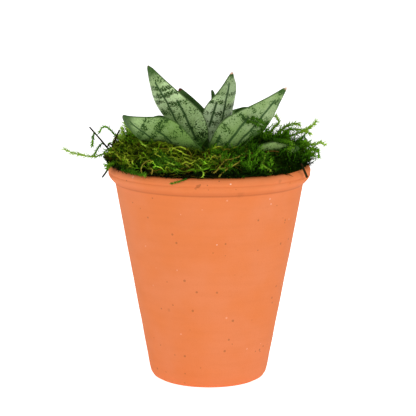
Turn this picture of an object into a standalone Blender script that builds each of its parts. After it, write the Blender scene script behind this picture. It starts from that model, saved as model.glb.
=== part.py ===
"""Dwarf snake plant in a clay pot with a rolled rim, topped with two kinds of moss.

Metres, +Z up. The origin is the middle of the pot's flat underside, and -Y is the front.
"""

import random
from math import asin, atan2, cos, degrees, hypot, pi, radians, sin, tau

import bmesh
import bpy
from mathutils import Matrix, Vector, noise
from mathutils.bvhtree import BVHTree

MM = 0.001

# Clearance between solids that lie against each other.
GAP = 0.3 * MM

# Pot, from its rolled rim down to its flat base.
POT_HEIGHT = 132.5 * MM
RIM_RADIUS = 61.5 * MM
RIM_INNER_RADIUS = 51.5 * MM
ROLL_LOWER_Z = 126.5 * MM
NECK_RADIUS = 57.2 * MM
NECK_Z = 121 * MM
BASE_RADIUS = 35.1 * MM
BASE_ROUNDING = 5.5 * MM
WALL = 6.2 * MM
FLOOR_THICKNESS = 7.5 * MM
POT_SIDES = 52
DRAIN_HOLES = 3
DRAIN_HOLE_RADIUS = 3.5 * MM
DRAIN_RING_RADIUS = 15 * MM

# Potting soil, a dome that carries the plant above the rim.
SOIL_EDGE_Z = 117 * MM
SOIL_CROWN_Z = 122 * MM
SOIL_SIDES = 40

# Crown, the short rhizome that the leaves grow from. Each tier of leaves stands on a ledge of it:
# the radius and the height of the leaf bases there, and the radius of the crown inside them.
CROWN_FOOT_Z = 106 * MM
CROWN_SIDES = 32
TIERS = {
    "young": dict(radius=2.4 * MM, z=130.0 * MM, core=0),
    "inner": dict(radius=5.4 * MM, z=128.0 * MM, core=3.6 * MM),
    "middle": dict(radius=9.0 * MM, z=126.0 * MM, core=7.2 * MM),
    "outer": dict(radius=13.6 * MM, z=123.4 * MM, core=11.2 * MM),
}
CROWN_RADIUS = 15.5 * MM

# Leaves: thickness along the middle and at the margin, and the width of the blunt tip.
BLADE_THICKNESS = 2.4 * MM
MARGIN_THICKNESS = 0.9 * MM
TIP_WIDTH = 1.4 * MM
# Share of a leaf's length over which its section turns from level, on its ledge, to square to its spine.
FOOT = 0.12
LEAF_ROWS = 15
LEAF_COLUMNS = 6

# One entry a leaf, in millimetres and degrees. azimuth: where its base stands on the crown, seen from
# above. clasp: half the angle its base wraps round the crown. climb, splay and lean: how far it rises
# before it bends, and how far it leans outwards and sideways there. bend and tip: the last two control
# points of its spine. width and widest: its greatest breadth, and where along it that is. fold and
# tip_fold: half the angle its channel turns through, there and at its tip. roll: the turn of the blade
# about its spine. taper: how late it narrows.
LEAVES = {
    "leaf_left": dict(
        tier="outer", azimuth=198, clasp=56, climb=36.8, splay=10.1, lean=16.6, bend=(-39.3, -41.2, 142.7),
        tip=(-50.8, -20.4, 163.3), width=50.0, widest=0.356, fold=51.2, tip_fold=33.5, roll=33.9, taper=2.6),
    "leaf_tall": dict(
        tier="middle", azimuth=182, clasp=74, climb=41.6, splay=18.2, lean=-5.3, bend=(-17.2, -17.2, 138.5),
        tip=(-36.0, -15.5, 192.5), width=50.0, widest=0.468, fold=96, tip_fold=34, roll=-11.1, taper=2.6),
    "leaf_middle": dict(
        tier="inner", azimuth=346, clasp=50, climb=39.9, splay=9.8, lean=0, bend=(16.7, -17.0, 179.7),
        tip=(13.7, -6.4, 188.1), width=41.9, widest=0.40, fold=76, tip_fold=17, roll=-18.7, taper=1.6),
    "leaf_right": dict(
        tier="middle", azimuth=348, clasp=74, climb=41.2, splay=32.2, lean=-18.3, bend=(16.4, -39.2, 139.4),
        tip=(44.7, -29.5, 180.9), width=50.0, widest=0.36, fold=96, tip_fold=34, roll=-11.6, taper=2.6),
    "leaf_low_right": dict(
        tier="outer", azimuth=354, clasp=44, climb=15.0, splay=26.0, lean=0, bend=(35.0, -12.0, 145.5),
        tip=(54.4, -12.0, 144.9), width=24.0, widest=0.55, fold=50, tip_fold=20, roll=22.0, taper=1.3),
    "leaf_back_left": dict(
        tier="outer", azimuth=108, clasp=22, climb=26.0, splay=16.0, lean=0, bend=(-11.5, 26.0, 160.0),
        tip=(-18.0, 24.0, 174.5), width=22.0, widest=0.50, fold=50, tip_fold=20, roll=0, taper=1.2),
    "leaf_back_right": dict(
        tier="outer", azimuth=62, clasp=22, climb=22.0, splay=26.0, lean=0, bend=(15.0, 32.0, 158.0),
        tip=(24.0, 46.0, 160.0), width=27.0, widest=0.50, fold=48, tip_fold=20, roll=0, taper=1.2),
    "leaf_young": dict(
        tier="young", azimuth=150, clasp=70, climb=12.0, splay=5.0, lean=0, bend=(7.0, 6.0, 158.0),
        tip=(1.7, 10.0, 175.6), width=9.0, widest=0.35, fold=70, tip_fold=25, roll=0, taper=1.0),
}

# Moss: its section by azimuth, in millimetres: crest radius and height, edge radius and height, and
# how far out it reaches.
MOSS_SECTIONS = {
    0: (47, 150.5, 57, 144.5, 62.0),
    45: (45, 149.0, 56, 142.5, 61.5),
    90: (38, 148.0, 52, 141.5, 59.0),
    135: (42, 150.0, 55, 142.5, 61.0),
    180: (46, 153.0, 57, 146.0, 62.0),
    225: (40, 147.5, 54, 140.5, 62.0),
    270: (26, 145.0, 43, 138.5, 54.0),
    315: (35, 145.0, 51, 139.5, 59.0),
}
MOSS_INNER_Z = 141.0 * MM
MOSS_SKIRT_Z = 134.6 * MM
MOSS_ROWS = 28
MOSS_COLUMNS = 8
MOSS_SEAM = 0.5 * MM
MOSS_BUMP = 1.5 * MM
STRAND_ROOT_RADIUS = 0.85 * MM
STRAND_TIP_RADIUS = 0.38 * MM

# The sectors the two mosses cover, and the strands that stand out of each.
MOSSES = {
    "moss_olive": dict(start=97, end=277, seed=11, strands=50, length=(12, 24), lift=(1.6, 3.6), upright=0.0),
    "moss_green": dict(start=-83, end=97, seed=23, strands=64, length=(6, 12), lift=(0.5, 1.5), upright=1.0),
}

# Strands with a route of their own, in millimetres.
STRAYS = {
    "moss_olive": [
        [(-55, -1, 141.0), (-61.8, -3.0, 140.5), (-64.8, -5.0, 138.1), (-70.7, -6.0, 136.9),
         (-78.8, -5.0, 138.1), (-84.0, -5.0, 139.5), (-87.5, -5.0, 141.3)],
        [(-54, -3, 134.8), (-59.4, -3.0, 139.3), (-65.4, -2.0, 146.2), (-72.6, 0.0, 154.1)],
        [(-68.6, -0.9, 149.8), (-70.8, -1.0, 148.5), (-71.0, -1.0, 144.2)],
        [(-64.6, -1.6, 145.3), (-67.4, -3.0, 143.3), (-69.8, -4.0, 139.4)],
        [(-51, 2, 144.0), (-57.2, 2.0, 148.9), (-59.4, 2.0, 151.5), (-62.0, 2.0, 153.7),
         (-63.8, 2.0, 154.2), (-65.6, 2.0, 153.0), (-66.7, 2.0, 150.6)],
        [(-55, -9, 136.5), (-57.7, -8.0, 143.2), (-56.4, -8.0, 148.5), (-54.1, -7.0, 153.4)],
        [(-45, 5.0, 143.0), (-50.4, 8.0, 150.3), (-52.4, 8.0, 156.0)],
        [(-54, -11, 137.0), (-60.7, -13.0, 137.5), (-63.8, -14.0, 138.0)],
        [(-52, -15.0, 137.0), (-59.1, -20.0, 134.8), (-61.2, -21.0, 130.5), (-63.9, -20.0, 126.6)],
        [(-43.5, -34.0, 138.8), (-47.9, -44.0, 135.0), (-49.3, -45.0, 129.8)],
    ],
    "moss_green": [
        [(35.0, 12.0, 144.0), (38.8, 12.0, 152.8), (41.9, 12.0, 155.3), (42.1, 12.0, 157.2), (40.3, 12.0, 159.6)],
        [(48.0, 5.0, 143.0), (57.3, 5.0, 150.9), (61.1, 5.0, 153.2), (65.0, 5.0, 157.0)],
        [(40, 15.0, 143.1), (47.2, 15.0, 152.1), (51.9, 15.0, 154.0), (55.0, 15.0, 153.5)],
        [(52, 0.0, 142.9), (58.4, 0.0, 145.9), (61.3, 0.0, 143.9), (64.5, 0.0, 144.0),
         (67.7, 0.0, 145.3), (70.3, 0.0, 144.4)],
        [(54, -6.0, 137.4), (58.7, -7.0, 136.8), (62.0, -7.0, 139.4), (65.3, -7.0, 140.6), (66.1, -7.0, 137.0)],
        [(47.1, -21.0, 140.1), (55.6, -30.5, 136.0), (58.0, -27.9, 132.1), (59.5, -25.2, 128.1)],
    ],
}


def clear_scene():
    for obj in list(bpy.data.objects):
        bpy.data.objects.remove(obj, do_unlink=True)


def new_collection(name):
    collection = bpy.data.collections.new(name)
    bpy.context.scene.collection.children.link(collection)
    return collection


def new_material(name, colour, roughness):
    material = bpy.data.materials.new(name)
    material.use_nodes = True
    shader = material.node_tree.nodes["Principled BSDF"]
    shader.inputs["Base Color"].default_value = (*colour, 1.0)
    shader.inputs["Roughness"].default_value = roughness
    shader.inputs["Metallic"].default_value = 0.0
    return material


def object_from_bmesh(name, data, collection, material):
    mesh = bpy.data.meshes.new(name)
    data.to_mesh(mesh)
    data.free()
    mesh.materials.append(material)
    obj = bpy.data.objects.new(name, mesh)
    collection.objects.link(obj)
    return obj


def evaluated_mesh(obj):
    graph = bpy.context.evaluated_depsgraph_get()
    return bpy.data.meshes.new_from_object(obj.evaluated_get(graph), depsgraph=graph)


def surface_tree(objects):
    """The surfaces of these objects, to measure distances to."""
    points, faces = [], []
    for obj in objects:
        mesh = evaluated_mesh(obj)
        mesh.calc_loop_triangles()
        faces += [[len(points) + i for i in triangle.vertices] for triangle in mesh.loop_triangles]
        points += [obj.matrix_world @ vertex.co for vertex in mesh.vertices]
        bpy.data.meshes.remove(mesh)
    return BVHTree.FromPolygons(points, faces)


def mix(a, b, share):
    return a + (b - a) * share


def smooth(share):
    share = max(0.0, min(1.0, share))
    return share * share * (3 - 2 * share)


def rounded_outline(corners, steps=3):
    """Points of an outline whose corners (radius from the axis, height, rounding) are arcs."""
    points = []
    for i, (r, z, rounding) in enumerate(corners):
        corner = Vector((r, z))
        if rounding == 0:
            points.append(corner)
            continue
        before = (Vector(corners[i - 1][:2]) - corner).normalized()
        after = (Vector(corners[i + 1][:2]) - corner).normalized()
        half = before.angle(after) / 2
        centre = corner + (before + after).normalized() * rounding / sin(half)
        spoke = corner + before * rounding * cos(half) / sin(half) - centre
        last = corner + after * rounding * cos(half) / sin(half) - centre
        turn = atan2(spoke.x * last.y - spoke.y * last.x, spoke.dot(last))
        for step in range(steps + 1):
            points.append(centre + Matrix.Rotation(turn * step / steps, 2) @ spoke)
    return points


def turned(name, outline, sides, collection, material):
    """A solid of revolution: the outline runs from the axis up the inside, then down the outside."""
    data = bmesh.new()
    previous = None
    for r, z in outline:
        vertex = data.verts.new((r, 0, z))
        if previous:
            data.edges.new((previous, vertex))
        previous = vertex
    obj = object_from_bmesh(name, data, collection, material)
    screw = obj.modifiers.new("turn", "SCREW")
    screw.steps = screw.render_steps = sides
    screw.use_merge_vertices = True
    screw.merge_threshold = 0.00001
    return obj


def slab(name, rows, columns, upper, lower, collection, material):
    """A closed sheet between two surfaces, each a function of (along, across) from 0 to 1."""
    data = bmesh.new()
    bmesh.ops.create_grid(data, x_segments=rows, y_segments=columns, size=0.5)
    bmesh.ops.triangulate(data, faces=data.faces[:])
    over = list(data.verts)
    made = bmesh.ops.extrude_face_region(data, geom=data.faces[:], use_keep_orig=True)
    under = [item for item in made["geom"] if isinstance(item, bmesh.types.BMVert)]
    for vertices, surface in ((over, upper), (under, lower)):
        for vertex in vertices:
            vertex.co = surface(vertex.co.x + 0.5, vertex.co.y + 0.5)
    bmesh.ops.recalc_face_normals(data, faces=data.faces[:])
    if data.calc_volume(signed=True) < 0:
        bmesh.ops.reverse_faces(data, faces=data.faces[:])
    return object_from_bmesh(name, data, collection, material)


def wall_radius(z):
    """Outer radius of the pot's tapered wall at a height."""
    return mix(BASE_RADIUS, NECK_RADIUS, z / NECK_Z)


def inner_radius(z):
    return min(RIM_INNER_RADIUS, wall_radius(z) - WALL)


def make_pot(collection, cutters, material):
    corners = [
        (0, FLOOR_THICKNESS, 0),
        (inner_radius(FLOOR_THICKNESS), FLOOR_THICKNESS, 4 * MM),
        (RIM_INNER_RADIUS, 121 * MM, 4 * MM),
        (RIM_INNER_RADIUS, POT_HEIGHT, 3.0 * MM),
        (RIM_RADIUS, POT_HEIGHT, 3.6 * MM),
        (RIM_RADIUS, ROLL_LOWER_Z, 2.6 * MM),
        (NECK_RADIUS, NECK_Z, 1.2 * MM),
        (BASE_RADIUS, 0, BASE_ROUNDING),
        (0, 0, 0),
    ]
    pot = turned("pot", rounded_outline(corners), POT_SIDES, collection, material)
    for i in range(DRAIN_HOLES):
        angle = tau * i / DRAIN_HOLES + pi / 2
        place = (DRAIN_RING_RADIUS * cos(angle), DRAIN_RING_RADIUS * sin(angle), FLOOR_THICKNESS / 2)
        bpy.ops.mesh.primitive_cylinder_add(
            vertices=16, radius=DRAIN_HOLE_RADIUS, depth=FLOOR_THICKNESS * 3, location=place)
        drill = bpy.context.object
        drill.name = f"drain_drill_{i + 1}"
        for holder in list(drill.users_collection):
            holder.objects.unlink(drill)
        cutters.objects.link(drill)
        drill.hide_render = True
        drill.display_type = "WIRE"
        cut = pot.modifiers.new(f"drain_{i + 1}", "BOOLEAN")
        cut.operation = "DIFFERENCE"
        cut.object = drill
    return pot


def soil_height(r):
    """Height of the soil's dome at a distance from the axis."""
    share = min(r / inner_radius(SOIL_EDGE_Z), 1)
    return mix(SOIL_EDGE_Z, SOIL_CROWN_Z, 0.5 + 0.5 * cos(pi * share))


def make_soil(collection, material):
    hole_radius = CROWN_RADIUS + GAP
    edge = inner_radius(SOIL_EDGE_Z) - GAP
    floor = FLOOR_THICKNESS + GAP
    corners = [(0, CROWN_FOOT_Z - GAP, 0), (hole_radius, CROWN_FOOT_Z - GAP, 0)]
    for i in range(6):
        r = mix(hole_radius, edge, i / 5)
        corners.append((r, soil_height(r), 0))
    corners += [(inner_radius(floor) - GAP, floor, 4 * MM), (0, floor, 0)]
    return turned("soil", rounded_outline(corners), SOIL_SIDES, collection, material)


def make_crown(collection, material):
    names = list(TIERS)
    corners = [(0, TIERS[names[0]]["z"] - GAP, 0)]
    for name, below in zip(names, names[1:] + [None]):
        ledge = TIERS[below]["core"] if below else CROWN_RADIUS
        top = TIERS[name]["z"] - GAP
        corners.append((ledge, top - 0.3 * MM, 0))
        if below:
            corners.append((ledge, TIERS[below]["z"] - GAP, 0))
    corners += [(CROWN_RADIUS, CROWN_FOOT_Z, 4 * MM), (0, CROWN_FOOT_Z, 0)]
    return turned("crown", rounded_outline(corners), CROWN_SIDES, collection, material)


class Leaf:
    """A channelled, pointed blade that clasps the crown, rises, then bends outwards."""

    def __init__(
            self, tier, azimuth, clasp, climb, splay, lean, bend, tip, width, widest, fold, tip_fold, roll, taper):
        outward = Vector((cos(radians(azimuth)), sin(radians(azimuth)), 0))
        sideways = Vector((-outward.y, outward.x, 0))
        radius = TIERS[tier]["radius"]
        start = outward * radius + Vector((0, 0, TIERS[tier]["z"]))
        rise = outward * sin(radians(splay)) + Vector((0, 0, cos(radians(splay))))
        rise = rise * cos(radians(lean)) + sideways * sin(radians(lean))
        self.controls = (start, start + rise * climb * MM, Vector(bend) * MM, Vector(tip) * MM)
        self.clasp, self.fold, self.tip_fold = radians(clasp), radians(fold), radians(tip_fold)
        self.base_width = 2 * self.clasp * radius
        self.width, self.widest, self.taper = width * MM, widest, taper
        self.roll = radians(roll)

    def frame(self, t):
        """Point of the spine at t, the normal of the blade's inner side, and its sideways direction."""
        a, b, c, d = self.controls
        s = 1 - t
        point = a * s**3 + b * 3 * s * s * t + c * 3 * s * t * t + d * t**3
        tangent = ((b - a) * s * s + (c - b) * 2 * s * t + (d - c) * t * t).normalized()
        tangent = mix(Vector((0, 0, 1)), tangent, smooth(t / FOOT)).normalized()
        inward = Vector((-point.x, -point.y, 0)).normalized()
        normal = (inward - tangent * inward.dot(tangent)).normalized()
        turn = Matrix.Rotation(-self.roll * smooth((t - 0.05) / 0.75), 3, tangent)
        return point, turn @ normal, turn @ normal.cross(tangent)

    def half_angle(self, t):
        if t < self.widest:
            return mix(self.clasp, self.fold, smooth(t / self.widest))
        return mix(self.fold, self.tip_fold, smooth((t - self.widest) / (1 - self.widest)))

    def breadth(self, t):
        if t < self.widest:
            return mix(self.base_width, self.width, smooth(t / self.widest) ** 0.8)
        taper = (t - self.widest) / (1 - self.widest)
        return mix(self.width, TIP_WIDTH, taper**self.taper)

    def surface(self, t, across, face):
        """A point of the blade. face is 1 on its inner, channelled side and -1 on its outer side."""
        v = 2 * across - 1
        point, normal, side = self.frame(t)
        half = self.half_angle(t)
        radius = self.breadth(t) / (2 * half)
        thickness = mix(BLADE_THICKNESS * (1 - 0.45 * t), MARGIN_THICKNESS, abs(v) ** 2.2)
        spoke = radius - face * thickness / 2
        return point + normal * (radius - spoke * cos(v * half)) + side * spoke * sin(v * half)


def make_leaves(collection, material):
    made = []
    for name, shape in LEAVES.items():
        leaf = Leaf(**shape)
        made.append(slab(
            name, LEAF_ROWS, LEAF_COLUMNS, lambda t, a: leaf.surface(t, a, 1),
            lambda t, a: leaf.surface(t, a, -1), collection, material))
    return made


def moss_section(azimuth):
    """Crest radius and height, edge radius and height, and reach of the moss, in metres."""
    azimuth %= 360
    low = int(azimuth // 45) * 45
    share = smooth((azimuth - low) / 45)
    return [mix(a, b, share) * MM for a, b in zip(MOSS_SECTIONS[low], MOSS_SECTIONS[(low + 45) % 360])]


def along_line(stops, share):
    """Point at a share of the way along a line through stops (share, radius, height)."""
    for (s0, r0, z0), (s1, r1, z1) in zip(stops, stops[1:]):
        if share <= s1 + 1e-6:
            part = (share - s0) / (s1 - s0)
            return mix(r0, r1, part), mix(z0, z1, part)
    return stops[-1][1:]


class MossMound:
    """A bumpy sector of moss that lies on the soil, goes over the rim and stays clear of the leaves."""

    def __init__(self, start, end, leaves):
        self.start, self.end, self.leaves = start, end, leaves

    def azimuth(self, along, r):
        seam = degrees(asin(MOSS_SEAM / 2 / r))
        return mix(self.start + seam, self.end - seam, along)

    def inner_edge(self, along):
        """Radius where the moss meets the leaf bases."""
        azimuth = radians(mix(self.start, self.end, along))
        outward = Vector((cos(azimuth), sin(azimuth), 0))
        radius = CROWN_RADIUS + 1 * MM
        for step in range(12):
            height = Vector((0, 0, mix(121, 139, step / 11) * MM))
            hit = self.leaves.ray_cast(outward * 30 * MM + height, -outward, 30 * MM)
            if hit[0]:
                radius = max(radius, hypot(hit[0].x, hit[0].y) + 1.6 * MM)
        return min(radius, 22 * MM)

    def place(self, along, r, z):
        azimuth = radians(self.azimuth(along, r))
        return Vector((r * cos(azimuth), r * sin(azimuth), z))

    def under(self, along, across):
        inner = self.inner_edge(along)
        reach = moss_section(mix(self.start, self.end, along))[4]
        wall = RIM_INNER_RADIUS - 0.8 * MM
        over_rim = POT_HEIGHT + 2 * GAP
        stops = [(0, inner, 0), (0.25, mix(inner, wall, 0.5), 0), (0.5, wall, 0)]
        stops = [(share, r, soil_height(r) + 2 * GAP) for share, r, _ in stops]
        stops += [(0.625, wall + 0.2 * MM, over_rim), (1, reach - 0.4 * MM, over_rim)]
        return self.place(along, *along_line(stops, across))

    def over(self, along, across):
        inner = self.inner_edge(along)
        crest_r, crest_z, edge_r, edge_z, reach = moss_section(mix(self.start, self.end, along))
        stops = [(0, inner, MOSS_INNER_Z), (0.375, crest_r, crest_z), (0.75, edge_r, edge_z), (1, reach, MOSS_SKIRT_Z)]
        point = self.place(along, *along_line(stops, across))
        point.z += MOSS_BUMP * noise.noise(point * 160) * (1 if across < 0.9 else 0.5)
        return self.below_leaves(point)

    def below_leaves(self, point):
        """Lowers a point until it is clear of every leaf above it and beside it."""
        for i in range(17):
            reach = (2.2 * MM, 4.4 * MM)[i % 2] if i < 16 else 0
            around = Vector((cos(tau * i / 16), sin(tau * i / 16), 0)) * reach
            foot = Vector((point.x, point.y, SOIL_CROWN_Z + 3 * MM)) + around
            hit = self.leaves.ray_cast(foot, Vector((0, 0, 1)), 60 * MM)
            if hit[0]:
                point.z = min(point.z, hit[0].z - 1.2 * MM)
        while self.leaves.find_nearest(point)[3] < 1.6 * MM and point.z > SOIL_CROWN_Z + 3 * MM:
            point.z -= 0.5 * MM
        return point


def strand(name, points, root, tip, collection, material):
    """A thin tapering tube along these points."""
    curve = bpy.data.curves.new(name, "CURVE")
    curve.dimensions = "3D"
    curve.bevel_depth = 1.0
    curve.bevel_resolution = 0
    curve.use_fill_caps = True
    spline = curve.splines.new("POLY")
    spline.points.add(len(points) - 1)
    for i, (place, target) in enumerate(zip(points, spline.points)):
        target.co = (*place, 1)
        target.radius = mix(root, tip, i / (len(points) - 1))
    drawn = bpy.data.objects.new(name, curve)
    collection.objects.link(drawn)
    bpy.context.view_layer.update()
    mesh = evaluated_mesh(drawn)
    bpy.data.objects.remove(drawn, do_unlink=True)
    data = bmesh.new()
    data.from_mesh(mesh)
    bmesh.ops.remove_doubles(data, verts=data.verts[:], dist=0.00001)
    bmesh.ops.recalc_face_normals(data, faces=data.faces[:])
    return object_from_bmesh(name, data, collection, material)


def is_clear(points, radius, keep_off):
    for a, b in zip(points, points[1:]):
        for step in range(5):
            if keep_off.find_nearest(mix(a, b, step / 4))[3] < radius + 2 * GAP:
                return False
    return True


def outward_from_moss(point):
    """Roughly the direction out of the moss: up on top of it, and sideways where it falls to the rim."""
    r = hypot(point.x, point.y)
    share = smooth((r - 38 * MM) / (24 * MM))
    return Vector((point.x / r * share, point.y / r * share, 1.1 - share)).normalized()


def hugging_route(surface, start, heading, length, lift, rng):
    """A wavy route that rises out of the moss, runs along its surface and dips back."""
    points = []
    wave = rng.uniform(0, tau)
    for step in range(5):
        share = step / 4
        guess = start + heading * length * share
        guess += heading.cross(Vector((0, 0, 1))) * 1.8 * MM * sin(wave + share * 5)
        foot = surface.find_nearest(guess)[0]
        height = mix(-1.6 * MM, lift, smooth(share * 3)) if share < 0.5 else mix(lift, 0.1 * MM, smooth(share * 2 - 1))
        points.append(foot + outward_from_moss(foot) * height)
    return points


def upright_route(surface, start, length, rng):
    """A short shoot that stands out of the moss and droops a little."""
    foot = surface.find_nearest(start)[0]
    normal = outward_from_moss(foot)
    lean = Vector((rng.uniform(-1, 1), rng.uniform(-1, 1), rng.uniform(-0.2, 0.6)))
    heading = (normal + lean * 0.7).normalized()
    points = [foot - normal * 1.6 * MM]
    for step in range(1, 4):
        share = step / 3
        points.append(foot + heading * length * share - Vector((0, 0, 2.2 * MM)) * share * share)
    return points


def grow_strands(moss, mound, shape, collection, material):
    """Fuses into a mound of moss the strands and shoots that stand out of it."""
    name = moss.name
    rng = random.Random(shape["seed"])
    surface = surface_tree([moss])
    keep_off = surface_tree([obj for obj in collection.objects if obj is not moss])
    strands = new_collection(name + "_strands")
    routes = [[Vector(place) * MM for place in route] for route in STRAYS[name]]
    made = 0
    for _ in range(shape["strands"] * 12):
        if made == shape["strands"]:
            break
        along, across = rng.uniform(0.02, 0.98), rng.uniform(0.08, 0.97)
        start = mound.over(along, across)
        length = rng.uniform(*shape["length"]) * MM
        lift = rng.uniform(*shape["lift"]) * MM
        if shape["upright"]:
            route = upright_route(surface, start, length, rng)
        else:
            azimuth = atan2(start.y, start.x) + rng.choice((pi / 2, -pi / 2)) + rng.gauss(0, 0.5)
            heading = Vector((cos(azimuth), sin(azimuth), 0))
            route = hugging_route(surface, start, heading, length, lift, rng)
        if is_clear(route, STRAND_ROOT_RADIUS, keep_off):
            routes.append(route)
            made += 1
    for i, route in enumerate(routes):
        strand(f"{name}_strand_{i}", route, STRAND_ROOT_RADIUS, STRAND_TIP_RADIUS, strands, material)
    fuse = moss.modifiers.new("fuse", "BOOLEAN")
    fuse.operation = "UNION"
    fuse.operand_type = "COLLECTION"
    fuse.collection = strands
    fuse.solver = "MANIFOLD"
    bpy.context.view_layer.update()
    fused = evaluated_mesh(moss)
    moss.modifiers.clear()
    moss.data = fused
    for obj in list(strands.objects):
        bpy.data.objects.remove(obj, do_unlink=True)
    bpy.data.collections.remove(strands)


def make_mosses(plant, collection, materials):
    leaves = surface_tree(plant)
    grown = []
    for name, shape in MOSSES.items():
        mound = MossMound(shape["start"], shape["end"], leaves)
        moss = slab(name, MOSS_ROWS, MOSS_COLUMNS, mound.over, mound.under, collection, materials[name])
        grown.append((moss, mound, shape))
    for moss, mound, shape in grown:
        grow_strands(moss, mound, shape, collection, materials[moss.name])


def main():
    clear_scene()
    parts = new_collection("potted_snake_plant")
    cutters = new_collection("cutters")
    cutters.hide_render = True
    clay = new_material("clay", (0.80, 0.24, 0.07), 0.85)
    earth = new_material("soil", (0.035, 0.022, 0.014), 0.95)
    rhizome = new_material("rhizome", (0.42, 0.30, 0.12), 0.7)
    blade = new_material("leaf", (0.20, 0.36, 0.12), 0.45)
    moss = {
        "moss_olive": new_material("moss_olive", (0.16, 0.15, 0.02), 0.9),
        "moss_green": new_material("moss_green", (0.05, 0.13, 0.01), 0.9),
    }
    make_pot(parts, cutters, clay)
    make_soil(parts, earth)
    crown = make_crown(parts, rhizome)
    plant = [crown] + make_leaves(parts, blade)
    make_mosses(plant, parts, moss)
    for obj in parts.objects:
        obj.data.shade_smooth()


main()
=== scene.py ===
"""Dwarf snake plant in a clay pot, its soil dressed with wiry olive moss and feathery green moss.

Metres, +Z up. The origin is the middle of the pot's flat underside, and -Y is the front.
"""

from math import asin, cos, degrees, hypot, pi, radians, sin, tau

import bmesh
import bpy
import numpy as np
from mathutils import Matrix, Vector, noise
from mathutils.bvhtree import BVHTree


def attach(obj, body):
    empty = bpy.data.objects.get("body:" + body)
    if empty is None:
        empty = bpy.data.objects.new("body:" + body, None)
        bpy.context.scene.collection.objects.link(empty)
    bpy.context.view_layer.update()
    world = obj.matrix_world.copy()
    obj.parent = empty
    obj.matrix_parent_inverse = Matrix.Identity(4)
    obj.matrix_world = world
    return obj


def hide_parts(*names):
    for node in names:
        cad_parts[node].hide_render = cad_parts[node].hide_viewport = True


bl_info = {
    "name": "Potted snake plant",
    "version": (1, 0, 0),
    "blender": (4, 5, 0),
    "location": "3D View > Sidebar > Potted plant",
    "description": "Builds a dwarf snake plant in a clay pot that is dressed with two kinds of moss",
    "category": "Add Mesh",
}

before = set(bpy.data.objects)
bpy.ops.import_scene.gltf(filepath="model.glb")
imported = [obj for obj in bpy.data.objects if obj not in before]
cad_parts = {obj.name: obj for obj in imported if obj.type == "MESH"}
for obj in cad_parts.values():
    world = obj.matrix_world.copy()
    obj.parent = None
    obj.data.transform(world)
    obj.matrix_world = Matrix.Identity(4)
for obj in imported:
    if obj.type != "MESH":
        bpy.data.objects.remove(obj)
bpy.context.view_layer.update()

MM = 0.001
BODY = "root"

# Sizes that the solids have too.
GAP = 0.3 * MM
RIM_INNER_RADIUS = 51.5 * MM
POT_HEIGHT = 132.5 * MM
DRAIN_HOLES = 3
DRAIN_HOLE_RADIUS = 3.5 * MM
DRAIN_RING_RADIUS = 15 * MM
SOIL_EDGE_Z = 117 * MM
SOIL_CROWN_Z = 122 * MM
SOIL_REACH = 50.2 * MM
CROWN_RADIUS = 15.5 * MM
BLADE_THICKNESS = 2.4
MARGIN_THICKNESS = 0.9
FOOT = 0.12
TIERS = {"young": (2.4, 130.0), "inner": (5.4, 128.0), "middle": (9.0, 126.0), "outer": (13.6, 123.4)}

# The leaves, in millimetres and degrees, as in the solids: tier, azimuth, clasp, climb, splay, lean, place of
# the bend, place of the tip, width, widest place, fold, tip fold, roll, taper and tip width.
LEAVES = {
    "leaf_left": ("outer", 198, 56, 36.8, 10.1, 16.6, (-39.3, -41.2, 142.7), (-51.2, -20.4, 162.3), 50.0,
                  0.356, 51.2, 33.5, 33.9, 2.6, 7.2),
    "leaf_tall": ("middle", 182, 74, 41.6, 18.2, -5.3, (-17.2, -17.2, 138.5), (-36.7, -15.5, 193.2), 50.0,
                  0.468, 96, 34, -11.1, 2.6, 2.7),
    "leaf_middle": ("inner", 346, 50, 39.9, 9.8, 0, (16.7, -17.0, 179.7), (13.4, -6.4, 187.4), 41.9, 0.40,
                    76, 17, -18.7, 1.6, 2.7),
    "leaf_right": ("middle", 348, 74, 41.2, 32.2, -18.3, (16.4, -39.2, 139.4), (45.1, -29.5, 182.0), 50.0,
                   0.36, 96, 34, -11.6, 2.6, 2.3),
    "leaf_low_right": ("outer", 354, 44, 15.0, 26.0, 0, (35.0, -12.0, 143.5), (54.0, -12.0, 143.2), 24.0,
                       0.55, 50, 20, 22.0, 1.3, 2.0),
    "leaf_back_left": ("outer", 108, 22, 26.0, 16.0, 0, (-11.5, 26.0, 160.0), (-18.7, 24.0, 175.3), 25.8,
                       0.46, 50, 20, 0, 1.15, 1.8),
    "leaf_back_right": ("outer", 62, 22, 22.0, 26.0, 0, (15.0, 32.0, 158.0), (24.0, 46.0, 160.0), 27.0,
                        0.50, 48, 20, 0, 1.2, 2.0),
    "leaf_young": ("young", 150, 70, 12.0, 5.0, 0, (7.0, 6.0, 158.0), (1.3, 10.0, 176.0), 13.0, 0.35, 70,
                   25, 0, 1.0, 1.4),
}

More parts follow.
